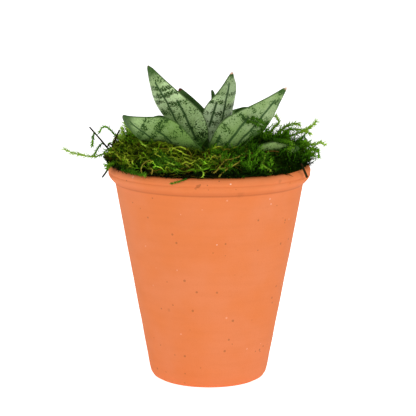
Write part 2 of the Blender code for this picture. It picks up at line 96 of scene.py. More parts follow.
# How each blade is marked. A groove is a line of (along, across) stops. A band is (middle along, half its
# length, strength). `beyond` has the bands where across is over `seam`, or under it on a mirrored blade, and
# `slant` tilts them all. A mark is a dark clot (or, below zero, a clear place) at (along, across), with its
# size in millimetres and its strength. `ground` is the pale colour, and `pale` its brightness at the blade's
# foot and tip, which is partly the blade's own paleness and partly painted light for a blade that lies in
# shade. `light` is painted light and shade on the whole skin, as its brightness below and above the middle.
# `foot` and `base` are the strength and the colour of the green foot, where a bright `base` is painted light
# on a foot in deep shade, and `tint` is the strength of the green in the bands. `shade` is painted shade on
# one side, as (slope, offset, low, high, strength), and `deep` the painted shade of a blade that lies in
# shade behind the others. `tip` is the colour of the tip, which starts at `tip_start` or is `tip_top`
# millimetres deep, and `dark_tip` is the share of the blade's end that is darker.
LOOKS = {
    "leaf_left": dict(
        dark_tip=0.135, pale=(1.10, 1.12), foot=1.0, ground=(0.335, 0.485, 0.20),
        shade=(2.1, -1.2, -0.02, -0.40, 0.55),
        grooves=[[(0.87, 0.64), (0.74, 0.36), (0.652, 0.175)], [(0.64, 0.53), (0.50, 0.42)]],
        bands=[(0.97, 0.030, 1.0), (0.765, 0.026, 0.75), (0.655, 0.030, 0.80), (0.555, 0.022, 0.55),
               (0.44, 0.02, 0.4), (0.36, 0.02, 0.5)],
        slant=0.03, tip=(0.16, 0.045, 0.012),
        marks=[(0.747, 0.56, 1.8, 0.9), (0.657, 0.70, 1.8, 0.8), (0.654, 0.86, 1.5, 0.7),
               (0.523, 0.66, 2.2, 0.45), (0.545, 0.96, 1.5, 0.6), (0.719, 0.76, 1.6, -0.5),
               (0.592, 0.76, 2.6, -0.4), (0.42, 0.88, 3.5, 0.5)]),
    "leaf_tall": dict(
        # Its high pale, its light and its bright base are painted light, for its left side and its foot lie
        # in shade.
        dark_tip=0.045, pale=(1.95, 1.80), light=(1.55, 1.0), ground=(0.358, 0.466, 0.245), foot=0.80,
        base=(0.100, 0.40, 0.008), tint=0.35,
        grooves=[[(0.928, 0.21), (0.82, 0.285), (0.64, 0.27)],
                 [(0.815, 0.68), (0.72, 0.60), (0.622, 0.575), (0.40, 0.72)]],
        seam=0.24, mirrored=True,
        bands=[(1.0, 0.035, 1.0), (0.940, 0.010, 0.6), (0.897, 0.012, 0.75), (0.865, 0.012, 0.8),
               (0.800, 0.014, 0.9), (0.72, 0.05, 0.42), (0.60, 0.05, 0.32), (0.45, 0.05, 0.5)],
        beyond=[(1.0, 0.030, 1.0), (0.945, 0.010, 0.45), (0.905, 0.010, 0.8), (0.867, 0.011, 0.8),
                (0.833, 0.011, 0.8), (0.755, 0.035, 0.6), (0.64, 0.05, 0.45), (0.45, 0.1, 0.6)],
        tip=(0.16, 0.05, 0.012), tip_start=0.992,
        marks=[(0.936, 0.67, 1.2, 0.6), (0.898, 0.59, 1.5, 0.8), (0.871, 0.69, 1.5, 1.0),
               (0.861, 0.50, 1.4, 0.8), (0.905, 0.05, 1.5, 0.7), (0.867, 0.01, 1.5, 0.6),
               (0.833, -0.05, 1.7, 0.9), (0.812, 0.50, 2.2, 1.0), (0.789, 0.59, 1.6, 0.7),
               (0.751, 0.0, 1.8, 0.7), (0.801, 0.89, 1.5, 0.5), (0.472, 0.80, 4.0, 0.9),
               (0.592, 0.57, 3.0, 0.4), (0.840, 0.62, 2.0, -0.8), (0.655, 0.84, 4.5, -0.25),
               (0.80, 0.03, 1.4, -0.6)]),
    "leaf_middle": dict(
        # Its high pale and its light at the foot are painted light, for its lower part lies in the shade of
        # the leaves beside it, and its light above the middle is a little painted shade.
        dark_tip=0.110, pale=(2.3, 1.42), light=(2.2, 0.86), ground=(0.325, 0.430, 0.230), foot=0.08,
        base=(0.070, 0.20, 0.010), tint=0.3,
        grooves=[[(0.78, -0.64), (0.62, -0.475), (0.368, -0.375)], [(0.55, -0.75), (0.305, -0.788)]],
        seam=-0.45,
        bands=[(0.97, 0.09, 0.9), (0.672, 0.018, 0.5), (0.56, 0.018, 0.7), (0.43, 0.020, 0.6),
               (0.345, 0.018, 0.6)],
        beyond=[(0.97, 0.07, 0.9), (0.64, 0.025, 0.7), (0.49, 0.035, 0.7), (0.38, 0.04, 0.6)],
        tip=(0.80, 0.46, 0.34), tip_top=1.1,
        marks=[(0.563, -0.60, 1.6, 0.7), (0.570, -0.93, 1.6, 0.6), (0.416, -0.56, 1.8, 0.9),
               (0.345, -0.64, 1.4, 0.9), (0.306, -0.59, 1.5, 0.9), (0.261, -0.74, 1.5, 0.8),
               (0.37, -0.86, 3.5, -0.6), (0.708, -0.55, 2.5, -0.3), (0.88, -0.75, 2.0, 0.6),
               (0.84, -0.35, 1.6, 0.5), (0.78, -0.85, 1.5, 0.5)]),
    "leaf_right": dict(
        dark_tip=0.035, pale=(1.12, 1.02), shade=(0.0, 0.0, -0.26, 0.16, 0.9),
        grooves=[[(0.925, -0.40), (0.818, -0.275), (0.678, -0.225), (0.50, -0.34)],
                 [(0.755, -0.61), (0.608, -0.525), (0.43, -0.65)], [(0.52, -0.835), (0.37, -0.865)]],
        seam=-0.28,
        bands=[(0.985, 0.022, 0.9), (0.822, 0.016, 0.5), (0.748, 0.018, 0.6), (0.600, 0.02, 0.5),
               (0.49, 0.03, 0.5)],
        beyond=[(0.985, 0.022, 0.9), (0.935, 0.022, 0.85), (0.79, 0.03, 0.5), (0.66, 0.05, 0.7),
                (0.50, 0.06, 0.7)],
        tip=(0.85, 0.58, 0.43), tip_start=0.984,
        marks=[(0.727, -0.83, 2.0, 0.8), (0.739, -0.66, 1.7, 0.9), (0.820, -0.68, 1.9, 0.35),
               (0.882, -0.82, 1.6, 0.6), (0.905, -0.43, 1.5, 0.9), (0.959, -0.55, 1.7, 0.9),
               (0.605, -0.80, 2.2, 0.6), (0.837, 0.18, 2.2, 0.4), (0.646, -0.46, 3.0, -0.7),
               (0.679, -0.90, 1.5, 0.5), (0.432, -0.79, 3.0, 0.25), (0.80, -0.50, 2.5, -0.4)]),
    "leaf_low_right": dict(
        dark_tip=0.050, pale=(1.5, 1.5), ground=(0.335, 0.50, 0.165), foot=0.3,
        grooves=[[(0.8, 0.1), (0.45, 0.15)]],
        bands=[(1.0, 0.05, 0.9), (0.83, 0.03, 0.5), (0.42, 0.05, 0.6)],
        slant=0.03, tip=(0.05, 0.10, 0.02)),
    "leaf_back_left": dict(
        # Its deep is painted shade, for the blade lies in shade behind the others.
        dark_tip=0.100, deep=0.85, grooves=[[(0.85, 0.15), (0.4, 0.2)], [(0.7, -0.4), (0.35, -0.45)]],
        bands=[(0.92, 0.03, 0.7), (0.76, 0.04, 0.7), (0.58, 0.04, 0.7), (0.42, 0.05, 0.7)],
        slant=0.04, tip=(0.085, 0.016, 0.004), tip_start=0.962),
    "leaf_back_right": dict(
        dark_tip=0.050, grooves=[[(0.85, 0.1), (0.4, 0.2)], [(0.7, -0.5), (0.35, -0.45)]],
        bands=[(0.95, 0.04, 0.8), (0.80, 0.03, 0.7), (0.63, 0.04, 0.7), (0.45, 0.05, 0.7)],
        slant=-0.03, tip=(0.25, 0.10, 0.03)),
    "leaf_young": dict(
        dark_tip=0.200, grooves=[], bands=[(0.9, 0.05, 0.6), (0.7, 0.05, 0.6), (0.5, 0.06, 0.6)],
        tip=(0.05, 0.10, 0.02)),
}

# Moss: its section by azimuth, in millimetres: crest radius and height, edge radius and height, reach.
MOSS_SECTIONS = {
    0: (44.6, 149.4, 53.0, 142.8, 58.8),
    45: (45, 146.5, 56, 141.5, 61.5),
    90: (38, 146.5, 52, 141.0, 59.5),
    135: (42, 150.0, 55, 142.5, 61.0),
    180: (43, 152.2, 54, 144.2, 61.0),
    225: (44.5, 149.8, 54.5, 141.5, 61.5),
    270: (33, 146.6, 48, 139.3, 59.5),
    315: (37, 147.0, 52.6, 141.2, 59.6),
}

# The moss lies low round this place, where the low leaf shows, and its shoots are short there.
LOW_PLACE = Vector((41, -26, 141)) * MM
LOW_STRETCH = 0.6
LOW_DEPTH = 5.8 * MM
LOW_SPREAD = 12.5 * MM
SHORT_SPREAD = 10 * MM

# A loose strand with nothing behind it lies this far from the camera, in metres, and none lies further than
# this from the pot's axis.
FRONT_EDGE = 1.02
LOOSE_REACH = 63.8 * MM

MOSS_INNER_Z = 141.0 * MM
MOSS_SKIRT_Z = 135.4 * MM

# The sectors of the two mosses and the middle of the olive one's side, in degrees.
MOSSES = {"moss_olive": (97, 277), "moss_green": (-83, 97)}
OLIVE_SIDE = 187
BED_COLUMNS = 26

# The leaves that are small or hidden in the photo, which need fewer faces.
FAR_LEAVES = ("leaf_back_left", "leaf_back_right", "leaf_young", "leaf_low_right")

NOWHERE = (0.0, 0.0, 0.0)

# The turn from one leaflet to the next round its stem, in radians.
SPIRAL = 2.4

# Painted shade round the rim, under the rolled bead, in the crease below it and in the small ledge: the
# heights between which each fades in from above and from below, in millimetres, how dark its tint is, and
# its strength.
RIM_SHADES = ((124.9, 122.2, 121.2, 121.6, 0.80, 0.30), (122.4, 121.7, 120.6, 121.4, 0.72, 0.45),
              (128.0, 127.5, 126.8, 127.3, 1.0, 0.28))

# The camera, as fitted to the pot's rim, foot and sides in the photo.
CAMERA_PLACE = Vector((-0.00072, -1.06485, 0.29619))
CAMERA_PITCH = 0.178
CAMERA_ROLL = 0.004
FOCAL_PIXELS = 1772.8
FRAME_PIXELS = 416
SENSOR_WIDTH = 36
FLOOR_REACH = 6.0


def camera_turn():
    return Matrix.Rotation(pi / 2 - CAMERA_PITCH, 3, "X") @ Matrix.Rotation(CAMERA_ROLL, 3, "Z")


def picture_ray(x, y):
    return (camera_turn() @ Vector((x - FRAME_PIXELS / 2, FRAME_PIXELS / 2 - y, -FOCAL_PIXELS))).normalized()


# Small sums

def mix(a, b, share):
    return a + (b - a) * share


def smooth(share):
    share = np.clip(share, 0.0, 1.0)
    return share * share * (3 - 2 * share)


def unit(vectors):
    return vectors / (np.linalg.norm(vectors, axis=-1, keepdims=True) + 1e-12)


# Objects

def link(obj):
    bpy.context.scene.collection.objects.link(obj)
    return obj


def new_object(name, points, faces, material=None):
    mesh = bpy.data.meshes.new(name)
    mesh.from_pydata([tuple(point) for point in points], [], [tuple(face) for face in faces])
    mesh.validate()
    if material:
        mesh.materials.append(material)
    mesh.shade_smooth()
    return link(bpy.data.objects.new(name, mesh))


def add_attribute(obj, name, values):
    values = np.asarray(values, np.float32)
    kind, field = ("FLOAT", "value") if values.ndim == 1 else ("FLOAT_VECTOR", "vector")
    obj.data.attributes.new(name, kind, "POINT").data.foreach_set(field, values.ravel())


def remove_object(obj):
    bpy.data.objects.remove(obj, do_unlink=True)


def surface_tree(*objects):
    """The surfaces of these objects, to measure distances and cast rays to."""
    points, faces = [], []
    for obj in objects:
        obj.data.calc_loop_triangles()
        faces += [[len(points) + i for i in triangle.vertices] for triangle in obj.data.loop_triangles]
        points += [vertex.co.copy() for vertex in obj.data.vertices]
    return BVHTree.FromPolygons(points, faces)


def gathered(objects, name):
    """One new object with the faces of all of these."""
    points, faces = [], []
    for obj in objects:
        faces += [[len(points) + i for i in polygon.vertices] for polygon in obj.data.polygons]
        points += [vertex.co.copy() for vertex in obj.data.vertices]
    return new_object(name, points, faces)


def faced_outwards(obj, weld=0.0):
    """Turns the faces of a closed mesh outwards, once points closer than the weld are one."""
    shape = bmesh.new()
    shape.from_mesh(obj.data)
    if weld:
        bmesh.ops.remove_doubles(shape, verts=shape.verts[:], dist=weld)
        bmesh.ops.dissolve_degenerate(shape, edges=shape.edges[:], dist=weld / 20)
    bmesh.ops.recalc_face_normals(shape, faces=shape.faces[:])
    if shape.calc_volume(signed=True) < 0:
        bmesh.ops.reverse_faces(shape, faces=shape.faces[:])
    shape.to_mesh(obj.data)
    shape.free()
    obj.data.shade_smooth()


def baked(obj, name):
    """The result of an object's modifiers as a plain mesh object. The first object goes."""
    bpy.context.view_layer.update()
    graph = bpy.context.evaluated_depsgraph_get()
    mesh = bpy.data.meshes.new_from_object(obj.evaluated_get(graph), depsgraph=graph)
    remove_object(obj)
    mesh.name = name
    made = link(bpy.data.objects.new(name, mesh))
    if not mesh.vertices:
        raise RuntimeError(name + " came out empty")
    return made


def hand_in(piece, slot, *nodes):
    """Lets a finished piece ride on the plant's one body, in place of these solids."""
    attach(piece, BODY)
    if nodes:
        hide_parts(*nodes)
    return piece


# Node trees

class Wiring:
    """Adds nodes to a tree and wires them, so that a recipe reads from top to bottom."""

    def __init__(self, tree):
        self.tree = tree

    def add(self, kind, inputs=None, **settings):
        node = self.tree.nodes.new(kind)
        for name, value in settings.items():
            setattr(node, name, value)
        for key, value in (inputs or {}).items():
            self.feed(node, key, value)
        return node

    def socket(self, sockets, key):
        if isinstance(key, int):
            return sockets[key]
        return next(socket for socket in sockets if socket.name == key and socket.enabled)

    def feed(self, node, key, value):
        target = self.socket(node.inputs, key)
        if isinstance(value, bpy.types.Node):
            value = next(socket for socket in value.outputs if socket.enabled)
        if isinstance(value, bpy.types.NodeSocket):
            self.tree.links.new(value, target)
        else:
            target.default_value = value

    def out(self, node, key):
        return self.socket(node.outputs, key)

    def math(self, operation, *values, clamp=False):
        node = self.add("ShaderNodeMath", dict(enumerate(values)), operation=operation, use_clamp=clamp)
        return node.outputs[0]

    def plus(self, a, b, clamp=False):
        return self.math("ADD", a, b, clamp=clamp)

    def minus(self, a, b):
        return self.math("SUBTRACT", a, b)

    def times(self, a, b, clamp=False):
        return self.math("MULTIPLY", a, b, clamp=clamp)

    def swing(self, value, size):
        """How far a value from 0 to 1 lies off its middle, at this size."""
        return self.times(self.minus(value, 0.5), size)

    def vector(self, operation, *values):
        node = self.add("ShaderNodeVectorMath", dict(enumerate(values)), operation=operation)
        return node.outputs["Value" if operation in ("LENGTH", "DOT_PRODUCT", "DISTANCE") else "Vector"]

    def scaled(self, vector, scale):
        node = self.add("ShaderNodeVectorMath", {0: vector, "Scale": scale}, operation="SCALE")
        return node.outputs["Vector"]

    def parts(self, vector):
        return self.add("ShaderNodeSeparateXYZ", {0: vector}).outputs

    def ramp(self, value, low, high, to_low=0.0, to_high=1.0):
        """A smooth step of a value from low to high."""
        node = self.add("ShaderNodeMapRange", {0: value, 1: low, 2: high, 3: to_low, 4: to_high},
                        interpolation_type="SMOOTHSTEP")
        return node.outputs[0]

    def blend(self, share, a, b):
        node = self.add("ShaderNodeMix", data_type="RGBA")
        for key, value in zip((0, 6, 7), (share, a, b)):
            self.feed(node, key, (*value, 1.0) if isinstance(value, tuple) else value)
        return node.outputs[2]

    def tinted(self, colour, tint, mask, strength):
        """A colour that goes over to a tint where the mask is, at this strength."""
        return self.blend(self.times(mask, strength), colour, tint)

    def mixed(self, share, a, b):
        return self.add("ShaderNodeMix", {0: share, 2: a, 3: b}, data_type="FLOAT").outputs[0]

    def noise(self, vector, scale, detail=2.0, roughness=0.5, output="Fac"):
        return self.add("ShaderNodeTexNoise", {
            "Vector": vector, "Scale": scale, "Detail": detail, "Roughness": roughness}).outputs[output]

    def own(self, name, output="Fac"):
        """An attribute of the piece, for a material."""
        return self.add("ShaderNodeAttribute", attribute_name=name).outputs[output]

    def read(self, name):
        """An attribute of the geometry, for a geometry tree."""
        node = self.add("GeometryNodeInputNamedAttribute", {"Name": name}, data_type="FLOAT")
        return node.outputs["Attribute"]

    def store(self, geometry, name, value):
        values = {"Geometry": geometry, "Name": name, "Value": value}
        return self.add("GeometryNodeStoreNamedAttribute", values, data_type="FLOAT",
                        domain="POINT").outputs[0]

    def chance(self, seed, step, low=0.0, high=1.0):
        """A random number from low to high for each point, with a seed of its own."""
        values = {"Min": low, "Max": high, "Seed": self.plus(seed, float(step))}
        return self.add("FunctionNodeRandomValue", values, data_type="FLOAT").outputs[1]

    def tube(self, curve, sides, girth):
        profile = self.add("GeometryNodeCurvePrimitiveCircle", {"Resolution": sides, "Radius": 1.0})
        return self.add("GeometryNodeCurveToMesh", {
            "Curve": curve, "Profile Curve": profile, "Scale": girth, "Fill Caps": True})

    def leaflet(self, source, tip=0.0):
        """A small flat leaflet of the tree's size, pointed or with a blunt tip."""
        cone = self.add("GeometryNodeMeshCone", {
            "Vertices": 3, "Side Segments": 1, "Radius Top": tip, "Radius Bottom": source["Leaflet Width"],
            "Depth": source["Leaflet Length"]}, fill_type="NGON")
        mesh = self.out(cone, "Mesh")
        return self.add("GeometryNodeTransform", {"Geometry": mesh, "Scale": (0.45, 1.0, 1.0)})

    def solid(self, *pieces):
        """Pieces of a geometry tree as one mesh with no instances."""
        both = pieces[0]
        if len(pieces) > 1:
            both = self.add("GeometryNodeJoinGeometry")
            for piece in pieces:
                self.feed(both, "Geometry", piece)
        return self.add("GeometryNodeRealizeInstances", {"Geometry": both})

    def coated(self, source, *pieces):
        """Pieces as one mesh in the tree's material."""
        return self.add("GeometryNodeSetMaterial",
                        {"Geometry": self.solid(*pieces), "Material": source["Material"]})

    def clearance(self, leaves, place, heading, reach, gap):
        """Whether a leaf lies ahead of a place, the room up to it, and how far off the nearest leaf is."""
        solids = self.add("GeometryNodeObjectInfo", {"Object": leaves}, transform_space="RELATIVE")
        target = self.out(solids, "Geometry")
        wall = self.add("GeometryNodeRaycast", {
            "Target Geometry": target, "Source Position": place, "Ray Direction": heading,
            "Ray Length": reach})
        near = self.add("GeometryNodeProximity", {"Geometry": target, "Sample Position": place},
                        target_element="FACES")
        return wall.outputs["Is Hit"], self.minus(wall.outputs["Hit Distance"], gap), near.outputs["Distance"]


def new_group(kind, name, inputs, output_kind, output):
    """A node group with these inputs, each with its default or its kind of socket, and with one output."""
    kinds = {float: "NodeSocketFloat", int: "NodeSocketInt", tuple: "NodeSocketVector"}
    tree = bpy.data.node_groups.new(name, kind)
    for label, default in inputs.items():
        given = isinstance(default, str)
        socket_type = default if given else kinds[type(default)]
        socket = tree.interface.new_socket(label, in_out="INPUT", socket_type=socket_type)
        if not given:
            socket.default_value = default
    tree.interface.new_socket(output, in_out="OUTPUT", socket_type=output_kind)
    w = Wiring(tree)
    source = w.add("NodeGroupInput")
    return tree, w, source.outputs, w.add("NodeGroupOutput")


def shader_group(name, output, **inputs):
    """A shader group whose inputs have these names and defaults."""
    return new_group("ShaderNodeTree", name, inputs, "NodeSocketFloat", output)


def geometry_group(name, inputs):
    """A geometry tree with a Geometry input, these inputs and a Geometry output."""
    inputs = {"Geometry": "NodeSocketGeometry", **inputs}
    return new_group("GeometryNodeTree", name, inputs, "NodeSocketGeometry", "Geometry")


def built_once(recipe):
    """Makes a recipe's node group, which has the recipe's name, the first time that it is asked for."""
    name = recipe.__name__.replace("_", " ").capitalize()
    return lambda: bpy.data.node_groups.get(name) or recipe(name)


def shared_effect(recipe):
    """Makes a recipe a shader group that a material places with its own values, in the inputs' order."""
    tree = built_once(recipe)
    return lambda w, *values: w.add("ShaderNodeGroup", dict(enumerate(values)), node_tree=tree()).outputs[0]


def grown(obj, tree, values, name):
    """Runs a geometry tree on an object and keeps the result as a plain mesh."""
    modifier = obj.modifiers.new(tree.name, "NODES")
    modifier.node_group = tree
    known = {item.name: item.identifier for item in tree.interface.items_tree
             if item.item_type == "SOCKET" and item.in_out == "INPUT"}
    for label, value in values.items():
        modifier[known[label]] = value
    return baked(obj, name)


# Effects that the materials share

@shared_effect
def cloudy_patches(name):
    """Soft blotches: a noise that is cut to a mask between two levels."""
    tree, w, source, sink = shader_group(name, "Mask", Point=NOWHERE, Scale=50.0, Low=0.4, High=0.6)
    shade = w.noise(source["Point"], source["Scale"], 3.0, 0.55)
    w.feed(sink, "Mask", w.ramp(shade, source["Low"], source["High"]))
    return tree


@shared_effect
def specks(name):
    """Small separate dots, some larger than others."""
    tree, w, source, sink = shader_group(name, "Mask", Point=NOWHERE, Scale=800.0, Share=0.1)
    cells = w.add("ShaderNodeTexVoronoi", {"Vector": source["Point"], "Scale": source["Scale"]})
    chance = w.add("ShaderNodeSeparateColor", {0: cells.outputs["Color"]})
    chosen = w.math("LESS_THAN", chance.outputs[0], source["Share"])
    size = w.mixed(chance.outputs[1], 0.14, 0.34)
    w.feed(sink, "Mask", w.times(chosen, w.math("LESS_THAN", cells.outputs["Distance"], size)))
    return tree


@shared_effect
def impressed_line(name):
    """A soft line between two points of a flat map in millimetres."""
    tree, w, source, sink = shader_group(name, "Mask", Point=NOWHERE, Start=NOWHERE, End=NOWHERE, Width=0.6)
    along = w.vector("SUBTRACT", source["End"], source["Start"])
    offset = w.vector("SUBTRACT", source["Point"], source["Start"])
    forward, whole = (w.vector("DOT_PRODUCT", vector, along) for vector in (offset, along))
    share = w.math("DIVIDE", forward, whole, clamp=True)
    apart = w.vector("LENGTH", w.vector("SUBTRACT", offset, w.scaled(along, share)))
    w.feed(sink, "Mask", w.ramp(apart, source["Width"], w.times(source["Width"], 0.35)))
    return tree


@shared_effect
def fine_grain(name):
    """Height of a fine grain with a coarser swell under it."""
    tree, w, source, sink = shader_group(name, "Height", Point=NOWHERE, Scale=1500.0)
    fine = w.noise(source["Point"], source["Scale"], 4.0, 0.6)
    coarse = w.noise(source["Point"], w.times(source["Scale"], 0.13), 2.0, 0.5)
    w.feed(sink, "Height", w.plus(w.times(fine, 0.6), w.times(coarse, 0.6)))
    return tree


# Materials

def new_material(name, roughness, specular=0.5):
    """A material with its wiring, its shader and the point that its patterns read."""
    material = bpy.data.materials.new(name)
    material.use_nodes = True
    w = Wiring(material.node_tree)
    shader = material.node_tree.nodes["Principled BSDF"]
    shader.inputs["Roughness"].default_value = roughness
    shader.inputs["Specular IOR Level"].default_value = specular
    return material, w, shader, w.add("ShaderNodeTexCoord").outputs["Object"]


def add_bump(w, shader, height, distance, strength=1.0):
    bump = w.add("ShaderNodeBump", {"Height": height, "Distance": distance, "Strength": strength})
    w.feed(shader, "Normal", bump)


def terracotta(settings, spots):
    """Unglazed clay: warm orange, paler clouds, a fine sandy grain, specks, a few stains, painted rim shade.
    """
    material, w, shader, point = new_material("terracotta", 0.80, 0.24)
    clay = tuple(settings.clay)
    pale = tuple(mix(c, 1.0, 0.05) for c in clay)
    deep = (clay[0] * 0.86, clay[1] * 0.78, clay[2] * 0.72)
    clouds = cloudy_patches(w, point, 30.0, 0.3, 0.7)
    colour = w.tinted(clay, pale, clouds, 0.6)
    drawn = w.vector("MULTIPLY", point, (1.0, 1.0, 7.0))
    elsewhere = w.vector("ADD", point, (0.3, 0.1, 0.7))
    for mask, tint, strength in (
            (cloudy_patches(w, drawn, 30.0, 0.35, 0.75), deep, 0.16),
            (cloudy_patches(w, point, 1300.0, 0.5, 0.75), deep, 0.18),
            (specks(w, point, 420.0, 0.02), (0.32, 0.09, 0.03), 0.5),
            (specks(w, elsewhere, 480.0, 0.01), (0.95, 0.62, 0.42), 0.3)):
        colour = w.tinted(colour, tint, mask, strength)
    height = w.parts(point)[2]
    # Painted shade under the rolled bead, in the crease below it and in the small ledge.
    for top, full_top, foot, full_foot, darkness, strength in RIM_SHADES:
        band = w.times(w.ramp(height, top * MM, full_top * MM), w.ramp(height, foot * MM, full_foot * MM))
        colour = w.tinted(colour, tuple(c * darkness for c in deep), band, strength)
    # The top of the rim goes darker and redder: partly damp clay, partly painted shadow of the moss over it.
    damp_and_shaded_lip = w.ramp(w.plus(height, w.times(w.noise(point, 160.0), 1.2 * MM)), 131.6 * MM, 133 * MM)
    colour = w.tinted(colour, (0.50, 0.125, 0.020), damp_and_shaded_lip, 0.5)
    radius = w.vector("LENGTH", w.vector("MULTIPLY", point, (1.0, 1.0, 0.0)))
    soiled = w.times(w.ramp(radius, 57 * MM, 53 * MM), w.ramp(height, 122 * MM, 128 * MM))
    ragged = w.times(soiled, w.ramp(w.noise(point, 300.0, 3.0), 0.3, 0.55))
    colour = w.blend(ragged, colour, (0.05, 0.022, 0.008))
    for place, size, tint, strength in spots:
        apart = w.plus(w.vector("DISTANCE", point, place), w.swing(w.noise(point, 900.0), size * 1.4))
        colour = w.tinted(colour, tint, w.ramp(apart, size, size * 0.45), strength)
    w.feed(shader, "Base Color", colour)
    w.feed(shader, "Roughness", w.plus(w.times(clouds, 0.08), 0.72))
    ringed = w.noise(w.vector("MULTIPLY", point, (1.0, 1.0, 30.0)), 12.0)
    add_bump(w, shader, w.plus(fine_grain(w, point, 1400.0), w.times(ringed, 1.2)), 0.18 * MM, 0.7)
    return material


def potting_mix():
    """Moist crumbs with chips of bark."""
    material, w, shader, point = new_material("potting_mix", 0.95, 0.2)
    crumbs = cloudy_patches(w, point, 420.0, 0.4, 0.65)
    colour = w.blend(crumbs, (0.012, 0.007, 0.004), (0.055, 0.032, 0.018))
    w.feed(shader, "Base Color", w.blend(specks(w, point, 330.0, 0.12), colour, (0.11, 0.06, 0.03)))
    add_bump(w, shader, fine_grain(w, point, 500.0), 2 * MM)
    return material


def rhizome_skin():
    """Ringed pale skin with soil in its furrows."""
    material, w, shader, point = new_material("rhizome_skin", 0.6)
    rings = w.noise(w.vector("MULTIPLY", point, (1.0, 1.0, 6.0)), 220.0, 3.0)
    colour = w.blend(w.ramp(rings, 0.35, 0.65), (0.42, 0.33, 0.15), (0.24, 0.17, 0.06))
    dirt = cloudy_patches(w, point, 260.0, 0.5, 0.7)
    w.feed(shader, "Base Color", w.blend(dirt, colour, (0.06, 0.035, 0.018)))
    add_bump(w, shader, rings, 0.8 * MM)
    return material


def band_ramp(w, value, bands):
    """Darkness of the cross bands at a share of the blade's length."""
    node = w.add("ShaderNodeValToRGB", {0: value})
    ramp = node.color_ramp
    ramp.interpolation = "EASE"
    stops = {}
    for middle, half, strength in bands:
        for offset, level in ((-1.5, 0.0), (-0.6, strength), (0.6, strength), (1.5, 0.0)):
            stops[middle + half * offset] = level
    while len(ramp.elements) > 1:
        ramp.elements.remove(ramp.elements[-1])
    ramp.elements[0].position = 0.0
    ramp.elements[0].color = (0, 0, 0, 1)
    for place, level in sorted(stops.items()):
        if 0.0 < place < 1.0:
            ramp.elements.new(place).color = (level, level, level, 1)
    return node.outputs["Color"]


